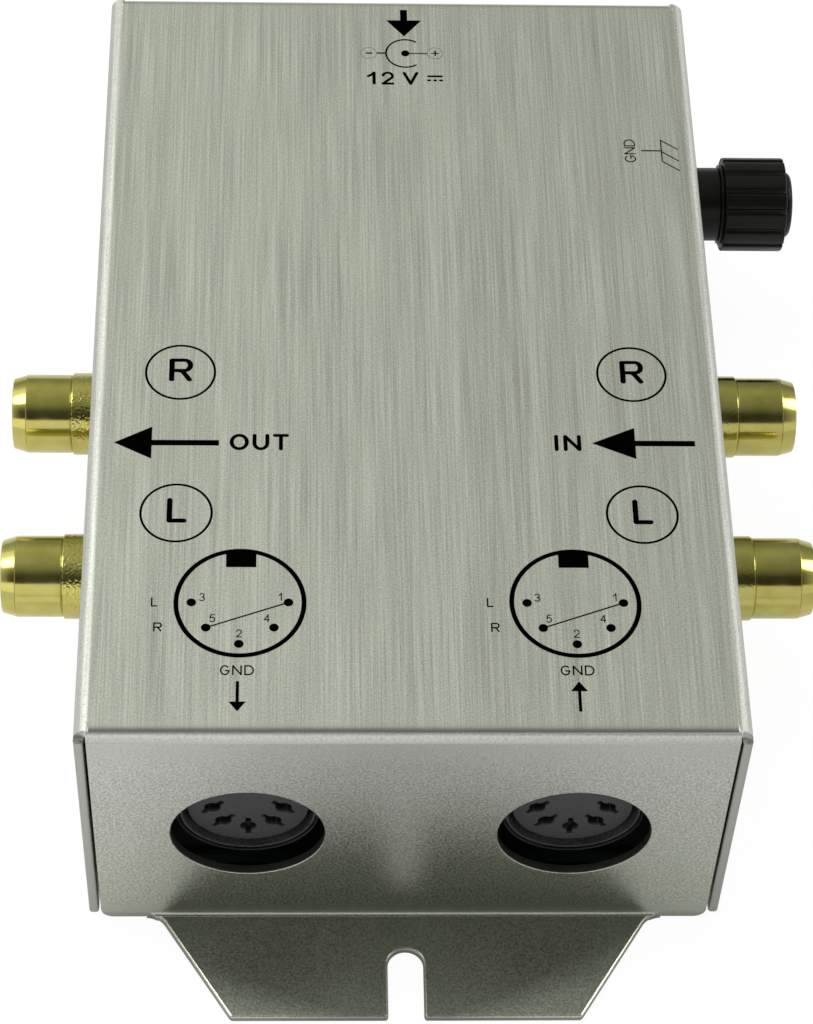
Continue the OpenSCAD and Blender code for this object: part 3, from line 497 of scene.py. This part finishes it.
def shade(made, crease_deg=40):
    """Smooth shading that keeps flat faces flat and sharp creases sharp."""
    mesh = made.data
    mesh.polygons.foreach_set("use_smooth", [True] * len(mesh.polygons))
    mesh.set_sharp_from_angle(angle=math.radians(crease_deg))
    even = made.modifiers.new("even", "WEIGHTED_NORMAL")
    even.keep_sharp = True
    even.weight = 100


def eased(node, width, segments=2, sharp_deg=38, body="case", wide=None, broad=0.0, crisp=None):
    """A copy of a CAD node with rounded edges: broader where wide() says so, none where crisp() does."""
    slot = slots[node]
    flat = math.radians(0.5)
    shape = bmesh.new()
    shape.from_mesh(CAD[node].data)
    bmesh.ops.remove_doubles(shape, verts=shape.verts, dist=JOIN)
    bmesh.ops.dissolve_limit(shape, angle_limit=flat, verts=shape.verts, edges=shape.edges)

    def round_off(edges, offset, steps):
        """Rounds the edges, also where two roundings run into each other."""
        bmesh.ops.bevel(shape, geom=edges, offset=offset, segments=steps, profile=0.5,
                        affect="EDGES", clamp_overlap=False, material=-1)

    def sharp():
        """The edges that turn by more than the given angle, without the crisp ones."""
        least = math.radians(sharp_deg)
        edges = [e for e in shape.edges if e.is_manifold and e.calc_face_angle() > least]
        return [e for e in edges if not (crisp and crisp(e))]

    if wide:
        round_off([e for e in sharp() if not wide(e)], width, segments)
        round_off([e for e in sharp() if wide(e)], broad, 4)
    else:
        round_off(sharp(), width, segments)
    made = piece(node + "_eased", shape, FINISHES[slot], body, (node,))
    shade(made)
    return made


def spun(shape, corners, centre, axis, steps):
    """Turns a closed outline all the way round the axis."""
    edges = [shape.edges.new(ends) for ends in zip(corners, corners[1:] + corners[:1])]
    bmesh.ops.spin(shape, geom=corners + edges, cent=centre, axis=axis,
                   angle=math.tau, steps=steps, use_merge=True, use_duplicate=False)


def turned(profile, centre, side, steps=96):
    """A closed ring turned about X: profile points are (distance along X, radius)."""
    shape = bmesh.new()
    corners = [shape.verts.new((side * x, 0, r)) for x, r in profile]
    spun(shape, corners, (0, 0, 0), (1, 0, 0), steps)
    bmesh.ops.remove_doubles(shape, verts=shape.verts, dist=JOIN)
    bmesh.ops.recalc_face_normals(shape, faces=shape.faces)
    bmesh.ops.translate(shape, verts=shape.verts, vec=centre)
    return shape


slots = {part["node"]: part["material_slot"] for part in frame["record"]["subparts"]}
for node, part in CAD.items():
    part.data.materials.clear()
    part.data.materials.append(FINISHES[slots[node]])


# ---- Phono jacks ----

def jack_profile():
    """Back, collar, fine joint groove, barrel, nick and the tapered nose down to the open tip."""
    ease = 0.12 * MM
    chamfer = 0.16 * MM
    groove = jack_step + 0.09 * MM
    crease = jack_tip - 1.5 * MM
    nick = 0.05 * MM
    nose_r = barrel_r - 0.4 * MM
    lip = 0.14 * MM
    back = [(jack_back, bore_r), (jack_back, barrel_r), (jack_face, barrel_r)]
    collar = [(jack_face, collar_r - ease), (jack_face + ease, collar_r), (jack_step - chamfer, collar_r),
              (jack_step - chamfer * 0.3, collar_r - chamfer * 0.3), (jack_step, collar_r - chamfer)]
    joint = [(jack_step, barrel_r - ease), (groove, barrel_r - ease), (groove, barrel_r - ease * 0.5)]
    barrel = [(groove + ease, barrel_r), (crease - nick, barrel_r), (crease, barrel_r - nick * 0.8)]
    nose = [(crease + nick, barrel_r - nick * 0.4), (jack_tip - lip, nose_r),
            (jack_tip - lip * 0.35, nose_r - lip * 0.3), (jack_tip, nose_r - lip)]
    mouth = [(jack_tip, bore_r + lip * 0.5), (jack_tip - lip * 0.5, bore_r)]
    return back + collar + joint + barrel + nose + mouth


def jack_shell(node):
    """The turned shell of a phono jack, open at its tip."""
    low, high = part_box(node)
    side = 1 if high.x > 0 else -1
    centre = (board_x, (low.y + high.y) / 2, (low.z + high.z) / 2)
    made = piece(node + "_turned", turned(jack_profile(), centre, side), FINISHES["gold_plate"],
                 "case", (node,))
    shade(made, 32)


for side in SIDES:
    for channel in CHANNELS:
        jack_shell(f"{side}_{channel}_shell")
        eased(f"{side}_{channel}_insulator", 0.15 * MM)


# ---- Case, sockets and post ----

def middle_of(edge):
    """How far an edge's middle is out to the side, along the case and up."""
    middle = (edge.verts[0].co + edge.verts[1].co) / 2
    return abs(middle.x), abs(middle.y), middle.z


def on_outline(edge):
    """True on the outer outline of the cover's feet and side flaps."""
    wide, long, up = middle_of(edge)
    if long > half_l + 0.3 * MM:
        return True
    return wide > side_flap_in - 0.05 * MM and (long > half_l - 1.2 * MM or up < 1.7 * MM)


def at_relief(edge):
    """True at the relief cuts of the top corners and where a foot's fillet runs into its bend."""
    wide, long, up = middle_of(edge)
    if up > top_z - 1.8 * MM:
        return wide > half_w - 1.7 * MM and long > half_l - 1.8 * MM
    on_fillet = 0 < wide - foot_root_w / 2 < fillet_run
    return on_fillet and up < 2 * MM and half_l - 1.2 * MM < long < half_l + 0.4 * MM


eased("cover", 0.12 * MM, wide=on_outline, broad=0.32 * MM, crisp=at_relief)
eased("base_tray", 0.12 * MM)
eased("cover_screws", 0.06 * MM)
eased("clinch_nuts", 0.1 * MM)
for side in SIDES:
    eased(f"din_{side}_body", 0.18 * MM)
    eased(f"din_{side}_insert", 0.12 * MM)
    eased(f"din_{side}_shield", 0.05 * MM)
eased("inlet_body", 0.2 * MM)
eased("inlet_pin", 0.25 * MM)
eased("post_bush", 0.15 * MM)
eased("clamp_washer", 0.06 * MM, body="clamp_washer")
eased("thumb_nut", 0.16 * MM, body="thumb_nut")


# ---- Printed signs ----
# Their places, letter sizes and line widths are in millimetres on the top face.

ink_t = 0.012 * MM
ink_sunk = 0.01 * MM
ink = bmesh.new()


def raise_ink(faces):
    """Gives flat ink its thickness."""
    swept = bmesh.ops.extrude_face_region(ink, geom=faces)["geom"]
    raised = [part for part in swept if isinstance(part, bmesh.types.BMVert)]
    bmesh.ops.translate(ink, verts=raised, vec=(0, 0, ink_t + ink_sunk))


def at_top(x, y):
    """A place on the top face, from millimetres."""
    return Vector((x * MM, y * MM, top_z - ink_sunk))


def ink_patch(*corners):
    """A flat printed patch with the given corners."""
    raise_ink([ink.faces.new([ink.verts.new(at_top(x, y)) for x, y in corners])])


def ink_line(start, end, width):
    """A straight stroke between two places."""
    a, b = Vector(start), Vector(end)
    across = (b - a).normalized().orthogonal() * width / 2
    ink_patch(a - across, b - across, b + across, a + across)


def ink_dot(x, y, radius, steps=32, stretch=1.0):
    """A round dot, or a wider one."""
    turns = [math.tau * i / steps for i in range(steps)]
    ink_patch(*[(x + radius * stretch * math.cos(t), y + radius * math.sin(t)) for t in turns])


def ink_stroke(points, width, stretch=1.0):
    """A round-ended stroke along the points, broader across than upwards when stretched."""
    path = [Vector((x / stretch, y)) for x, y in points]
    rows = []
    for i, here in enumerate(path):
        along = path[min(i + 1, len(path) - 1)] - path[max(i - 1, 0)]
        aside = along.normalized().orthogonal() * width / 2
        rows.append([ink.verts.new(at_top(p.x * stretch, p.y)) for p in (here - aside, here + aside)])
    raise_ink([ink.faces.new((a[0], b[0], b[1], a[1])) for a, b in zip(rows, rows[1:])])
    for x, y in (points[0], points[-1]):
        ink_dot(x, y, width / 2, 16, stretch)


def bow(x, y, wide, high, start_deg, end_deg, steps=20):
    """Points along part of an ellipse."""
    turns = [math.radians(start_deg + (end_deg - start_deg) * i / steps) for i in range(steps + 1)]
    return [(x + wide * math.cos(t), y + high * math.sin(t)) for t in turns]


# Strokes of each letter and digit, in a box from 0 to 1
STROKES = {
    "D": [[(0, 0), (0, 1)], [(0, 1), *bow(0.4, 0.5, 0.6, 0.5, 90, -90), (0, 0)]],
    "G": [[*bow(0.5, 0.5, 0.5, 0.5, 45, 325), (1, 0.45)], [(1, 0.45), (0.58, 0.45)]],
    "I": [[(0.5, 0), (0.5, 1)]],
    "L": [[(0, 1), (0, 0)], [(0, 0), (1, 0)]],
    "N": [[(0, 0), (0, 1)], [(0, 1), (1, 0)], [(1, 0), (1, 1)]],
    "O": [bow(0.5, 0.5, 0.5, 0.5, 0, 360, 48)],
    "R": [[(0, 0), (0, 1)], [(0, 1), *bow(0.68, 0.735, 0.32, 0.265, 90, -90), (0, 0.47)],
          [(0.42, 0.47), (0.6, 0.4), (0.74, 0.26), (0.96, 0)]],
    "T": [[(0, 1), (1, 1)], [(0.5, 1), (0.5, 0)]],
    "U": [[(0, 1), *bow(0.5, 0.42, 0.5, 0.42, 180, 360), (1, 1)]],
    "V": [[(0, 1), (0.5, 0)], [(0.5, 0), (1, 1)]],
    "1": [[(1, 0), (1, 1)], [(1, 1), (0.6, 0.82), (0, 0.68)]],
    "2": [[*bow(0.5, 0.7, 0.48, 0.3, 170, -35), (0, 0)], [(0, 0), (1, 0)]],
    "3": [bow(0.45, 0.75, 0.42, 0.25, 150, -90), bow(0.45, 0.25, 0.5, 0.25, 90, -150)],
    "4": [[(0.75, 0), (0.75, 1)], [(0.75, 1), (0, 0.3)], [(0, 0.3), (1, 0.3)]],
    "5": [[(0.9, 1), (0.2, 1)], [(0.2, 1), (0.05, 0.5)],
          [(0.05, 0.5), *bow(0.45, 0.32, 0.5, 0.32, 110, -150)]],
}


def ink_letter(letter, low, high, width, stretch=1.0):
    """A letter whose strokes just fill the box from low to high."""
    margin = (width * stretch / 2, width / 2)
    span = [high[i] - low[i] - 2 * margin[i] for i in (0, 1)]
    for stroke in STROKES[letter]:
        points = [[low[i] + margin[i] + span[i] * p[i] for i in (0, 1)] for p in stroke]
        ink_stroke(points, width, stretch)


def ink_word(word, low, size, step, width, turn_deg=0.0):
    """Small letters of one size in a row, turned about the word's lower left corner."""
    first = len(ink.verts)
    for i, letter in enumerate(word):
        left = low[0] + i * step
        ink_letter(letter, (left, low[1]), (left + size[0], low[1] + size[1]), width)
    ink.verts.ensure_lookup_table()
    bmesh.ops.rotate(ink, verts=ink.verts[first:], cent=at_top(*low),
                     matrix=Matrix.Rotation(math.radians(turn_deg), 3, "Z"))


def ink_ring(x, y, radius, width, steps=96):
    """A printed ring."""
    inner, outer = radius - width / 2, radius + width / 2
    low, high = top_z - ink_sunk, top_z + ink_t
    outline = ((inner, low), (outer, low), (outer, high), (inner, high))
    corners = [ink.verts.new(((x + r) * MM, y * MM, z)) for r, z in outline]
    spun(ink, corners, (x * MM, y * MM, 0), (0, 0, 1), steps)


def ink_arrow(tip, back, head_l, head_w, shaft_w):
    """An arrow from its shaft's end to its tip."""
    a, b = Vector(back), Vector(tip)
    along = (b - a).normalized()
    across = along.orthogonal()
    neck = b - along * head_l
    ink_patch(a - across * shaft_w / 2, neck - across * shaft_w / 2, neck - across * head_w / 2, b,
              neck + across * head_w / 2, neck + across * shaft_w / 2, a + across * shaft_w / 2)


def supply_sign(x, y):
    """Arrow and polarity sign in front of the power inlet, with the polarity sign's dot at x and y."""
    minus_x, plus_x, plus_y = x - 4.03, x + 3.28, y + 0.04
    minus_line, plus_line = 0.2, 0.13
    ink_arrow((x - 0.09, y + 2.64), (x - 0.09, y + 6.78), 2.5, 3.9, 0.78)
    ink_stroke(bow(x, y, 2.12, 2.12, 57, 303, 64), 0.19)
    ink_dot(x, y, 0.46)
    ink_line((x - 3.12, y + 0.02), (x - 2.1, y + 0.02), minus_line)
    ink_line((x, y), (x + 2.39, y + 0.02), plus_line)
    ink_ring(minus_x, y, 0.86, 0.035, 48)
    ink_ring(plus_x, plus_y, 0.86, 0.035, 48)
    ink_line((minus_x - 0.35, y), (minus_x + 0.39, y), minus_line)
    ink_line((plus_x - 0.42, plus_y), (plus_x + 0.45, plus_y), plus_line)
    ink_line((plus_x + 0.03, plus_y - 0.4), (plus_x + 0.03, plus_y + 0.42), 0.17)


def voltage_sign(left, low):
    """12 V and the sign of direct current, from their lower left corner."""
    high = low + 1.95
    solid, dashed = low + 1.31, low + 0.69
    ink_letter("1", (left, low), (left + 1.0, high), 0.31, 1.15)
    ink_letter("2", (left + 1.61, low), (left + 3.03, high), 0.3, 1.1)
    ink_letter("V", (left + 3.95, low), (left + 5.7, high), 0.32, 1.1)
    ink_stroke([(left + 6.77, solid), (left + 8.25, solid)], 0.26)
    for start, end in ((6.76, 6.96), (7.42, 7.6), (8.07, 8.26)):
        ink_stroke([(left + start, dashed), (left + end, dashed)], 0.26)


def ring_sign(x, y, letter):
    """A letter in a ring beside a phono jack."""
    ink_ring(x, y, 3.49, 0.24)
    if letter == "R":
        ink_letter("R", (x - 1.16, y - 1.2), (x + 1.26, y + 1.78), 0.42, 1.3)
    else:
        ink_letter("L", (x - 0.93, y - 1.2), (x + 1.06, y + 1.82), 0.5, 1.1)


# Each pin of a DIN socket from the socket's middle, and its number's place beside it
PINS = {"3": (-4.68, 0.0), "5": (-3.24, -2.94), "2": (-0.06, -4.82), "4": (3.28, -2.92), "1": (4.66, 0.02)}
NUMBERS = {"3": (0.74, 0.15), "5": (0.33, 0.62), "2": (-0.28, 0.75), "4": (-0.98, 0.6), "1": (-1.0, 0.2)}


def socket_sign(x, y, ground_in):
    """A DIN socket's ring, key, numbered pins, ground arrow and channel letters, about its middle."""
    ink_ring(x, y, 6.16, 0.47, 128)
    ink_patch((x - 1.42, y + 4.2), (x + 1.52, y + 4.2), (x + 1.52, y + 6.0), (x - 1.42, y + 6.0))
    for pin, (pin_x, pin_y) in PINS.items():
        ink_dot(x + pin_x, y + pin_y, 0.46)
        left, low = x + pin_x + NUMBERS[pin][0], y + pin_y + NUMBERS[pin][1]
        across = 0.36 if pin == "1" else 0.58
        ink_letter(pin, (left, low), (left + across, low + 0.94), 0.11)
    ink_line((x + PINS["5"][0], y + PINS["5"][1]), (x + PINS["1"][0], y + PINS["1"][1]), 0.15)
    ink_word("GND", (x - 1.8, y - 8.42), (0.93, 1.15), 1.15, 0.15)
    near, far = (x - 0.12, y - 9.1), (x - 0.12, y - 12.5)
    tip, back = (near, far) if ground_in else (far, near)
    ink_arrow(tip, back, 1.1, 1.62, 0.31)
    ink_letter("L", (x - 8.56, y - 0.5), (x - 7.94, y + 0.58), 0.15)
    ink_letter("R", (x - 8.26, y - 3.42), (x - 7.42, y - 2.36), 0.15)


def ground_sign(x, y):
    """Chassis sign beside the ground post, with x and y where its lead meets its bar."""
    ink_word("GND", (x - 2.8, y - 1.71), (1.02, 1.24), 1.17, 0.14, 90)
    ink_line((x - 2.16, y), (x, y), 0.16)
    ink_line((x, y + 1.6), (x, y - 1.55), 0.13)
    for top in (y + 1.57, y - 0.11, y - 1.53):
        ink_line((x, top), (x + 1.79, top - 1.36), 0.13)


def channel_signs():
    """Ringed letters of the channels, with the arrows and words between them."""
    ring_x = 22.95
    out_y, in_y = -14.4, -14.25
    for letter, y in (("R", -5.3), ("L", -23.15)):
        ring_sign(-ring_x, y, letter)
        ring_sign(ring_x, y, letter)
    ink_arrow((-29.36, out_y), (-18.9, out_y), 3.76, 4.05, 0.68)
    ink_arrow((18.45, in_y), (28.82, in_y), 4.35, 3.96, 0.68)
    out_letters = {"O": (-17.84, -15.92), "U": (-15.56, -13.88), "T": (-13.53, -11.91)}
    in_letters = {"I": (14.68, 15.06), "N": (15.58, 17.36)}
    rows = ((out_letters, out_y - 0.91, out_y + 1.15), (in_letters, in_y - 1.0, in_y + 1.04))
    for letters, low, high in rows:
        for letter, (left, right) in letters.items():
            ink_letter(letter, (left, low), (right, high), 0.36, 1.12)


supply_sign(0.69, 40.36)
voltage_sign(-3.62, 35.55)
channel_signs()
socket_sign(-16.54, -33.9, ground_in=False)
socket_sign(15.8, -33.86, ground_in=True)
ground_sign(28.1, 25.93)
bmesh.ops.recalc_face_normals(ink, faces=ink.faces)
ink_finish = moulded("black_ink", INK, 0.6, grain=0.08 * MM, speckle=0.3, depth=0.002 * MM,
                     Specular_IOR_Level=0.0)
piece("printed_signs", ink, ink_finish)


# ---- Stage ----

def floor_shade_in_mirrors(tree, place):
    """Painted shade in the floor as metal mirrors it: dimmer at the case's sides, back and feet, and
    painted lighter to the left.
    """
    wide, long = [away(tree, place[i]) for i in (0, 1)]
    outside = greatest(tree, less(tree, wide, half_w), less(tree, long, half_l))
    close_by = spread(tree, outside, 0.45, 1.0, 0.0, 22 * MM)
    far_off = spread(tree, outside, 1.0, 0.8, 70 * MM, 260 * MM)
    leftward = spread(tree, place[0], 1.15, 0.8, -half_w, half_w)
    aside = spread(tree, wide, 1.0, 0.45, half_w + 12 * MM, half_w + 40 * MM)
    behind = spread(tree, place[1], 1.0, 0.5, half_l, half_l + 20 * MM)
    past_foot = total(tree, long, times(tree, wide, 0.8))
    beside_foot = greatest(tree, spread(tree, wide, 0.07, 1.0, 15 * MM, 32 * MM),
                           spread(tree, past_foot, 0.07, 1.0, 68 * MM, 94 * MM))
    at_flap = greatest(tree, spread(tree, long, 0.72, 1.0, half_l, half_l + 14 * MM),
                       below(tree, long, half_l - sheet_t))
    front_right = greatest(tree, spread(tree, place[0], 1.0, 0.75, 15 * MM, 40 * MM),
                           spread(tree, place[1], 0.0, 1.0, -half_l - 2 * MM, -half_l + 10 * MM))
    return times(tree, close_by, far_off, leftward, aside, behind, beside_foot, at_flap, front_right)


def white_floor():
    """White with a faint shadow to the camera, with painted shade near the case in mirrors, matt to other
    light.
    """
    made = bpy.data.materials.new("white_floor")
    made.use_nodes = True
    tree = made.node_tree
    tree.nodes.clear()
    matt = add(tree, "BsdfDiffuse", {"Color": (0.82, 0.82, 0.81, 1)})
    glow = add(tree, "Emission", {"Color": WHITE, "Strength": 1.12})
    place = axes(tree, add(tree, "TexCoord").outputs["Object"])
    seen, mirrored = ray_kinds(tree)
    # Painted shade in mirrors: the floor's glow is dimmed near the case for mirrored rays only.
    bright = greatest(tree, seen, floor_shade_in_mirrors(tree, place))
    share = times(tree, greatest(tree, seen, mirrored), bright, 0.82)
    surface = add(tree, "MixShader", {0: share, 1: matt.outputs[0], 2: glow.outputs[0]})
    add(tree, "OutputMaterial", {"Surface": surface.outputs[0]})
    return made


def floor():
    """A wide white floor just below the object."""
    shape = bmesh.new()
    bmesh.ops.create_grid(shape, x_segments=1, y_segments=1, size=3.0)
    made = new_object("floor", shape)
    made.location.z = cad_box[0][2] - 0.02 * MM
    made.data.materials.append(white_floor())


# ---- Room and lamps ----

# Brightness of the room over the middle of the case, in degrees from the front horizon to the rear one
HOOP = ((0, 0.9), (31.5, 0.95), (34, 0.035), (58, 0.06), (70, 0.19), (82, 0.31), (100, 0.39),
        (115, 0.45), (127, 0.51), (138, 0.52), (150, 0.42), (165, 0.31), (180, 0.27))
# The same to either side of it
OPEN_HOOP = ((0, 1.0), (60, 0.75), (127, 0.55), (180, 0.5))
# The room's brightness from left to right, by the direction's X
ACROSS = ((-1.0, 0.95), (-0.88, 1.1), (-0.72, 1.5), (-0.45, 1.5), (-0.15, 1.36), (-0.05, 1.08),
          (0.0, 0.99), (0.12, 0.86), (0.25, 0.8), (0.42, 0.98), (0.8, 0.98))
# Soft boxes: direction, brightness, and half the angle that each takes up
SOFT_BOXES = (((-0.55, 0.19, 0.81), 7.0, 9), ((0.75, 0.17, 0.64), 7.0, 8),
              ((-0.61, 0.49, 0.62), 1.26, 8), ((-0.7, 0.68, 0.2), 1.15, 6), ((0.78, 0.6, 0.15), 1.0, 7))


def grey(level):
    """A colour that is the same in red, green and blue."""
    return (level, level, level)


def room(tree, way):
    """The room's light by direction: a dark panel in front, a yellower tone overhead and behind."""
    turn = calc(tree, "DIVIDE", calc(tree, "ARCTAN2", way[2], times(tree, way[1], -1.0)), math.pi)
    over, beside = [ramp(tree, turn, *[(deg / 180, grey(level)) for deg, level in levels])
                    for levels in (HOOP, OPEN_HOOP)]
    hoop = mixed(tree, spread(tree, away(tree, way[0]), 0.0, 1.0, 0.66, 0.8), over, beside)
    across = ramp(tree, spread(tree, way[0], 0.0, 1.0, -1.0, 1.0),
                  *[((x + 1) / 2, grey(level)) for x, level in ACROSS])
    warm = ramp(tree, turn, (0.25, grey(1.0)), (0.45, (0.98, 1.025, 0.9)))
    return mixed(tree, 1.0, mixed(tree, 1.0, hoop, across, "MULTIPLY"), warm, "MULTIPLY")


def with_soft_box(tree, look, behind, aim, level, half_deg):
    """The room with one more round soft box in it."""
    soft_edge_deg = 8
    inputs = {0: look, 1: Vector(aim).normalized()}
    near = add(tree, "VectorMath", inputs, operation="DOT_PRODUCT").outputs["Value"]
    rim, heart = [math.cos(math.radians(deg)) for deg in (half_deg + soft_edge_deg, half_deg)]
    return mixed(tree, spread(tree, near, 0.0, 1.0, rim, heart), behind, (*grey(level), 1))


def world():
    """Even light for matt surfaces, the room for metal and gloss, and white to the camera."""
    sky = bpy.data.worlds.new("studio")
    bpy.context.scene.world = sky
    sky.use_nodes = True
    tree = sky.node_tree
    tree.nodes.clear()
    look = add(tree, "TexCoord").outputs["Generated"]
    lit = room(tree, axes(tree, look))
    for aim, level, half_deg in SOFT_BOXES:
        lit = with_soft_box(tree, look, lit, aim, level, half_deg)
    seen, mirrored = ray_kinds(tree)
    even = mixed(tree, mirrored, (*grey(0.6), 1), lit)
    shown = mixed(tree, seen, even, WHITE)
    light = add(tree, "Background", {"Color": shown, "Strength": 1.0})
    add(tree, "OutputWorld", {"Surface": light.outputs[0]})


def lamp(name, place, size, power):
    """A square soft lamp aimed at the case, which no gloss mirrors."""
    light = bpy.data.lights.new(name, "AREA")
    light.size = size
    light.energy = power
    made = bpy.data.objects.new(name, light)
    made.location = place
    made.rotation_euler = (Vector((0, 0, top_z)) - Vector(place)).to_track_quat("-Z", "Y").to_euler()
    made.visible_glossy = False
    bpy.context.scene.collection.objects.link(made)


# ---- Camera ----

def camera():
    """The camera above the front end."""
    place = (-0.0112333, -0.2098456, 0.2834547)
    tilt_deg = (36.887, -1.729, -1.039)
    view = bpy.data.cameras.new("camera")
    view.sensor_width = 36
    view.lens = 111.32
    view.clip_start = 10 * MM
    made = bpy.data.objects.new("camera", view)
    made.location = place
    made.rotation_euler = Euler([math.radians(angle) for angle in tilt_deg])
    bpy.context.scene.collection.objects.link(made)
    bpy.context.scene.camera = made


floor()
world()
lamp("key", (-0.3, 0.15, 0.6), 0.5, 1.2)
camera()
bpy.context.scene.view_settings.view_transform = "Standard"

bpy.context.view_layer.update()
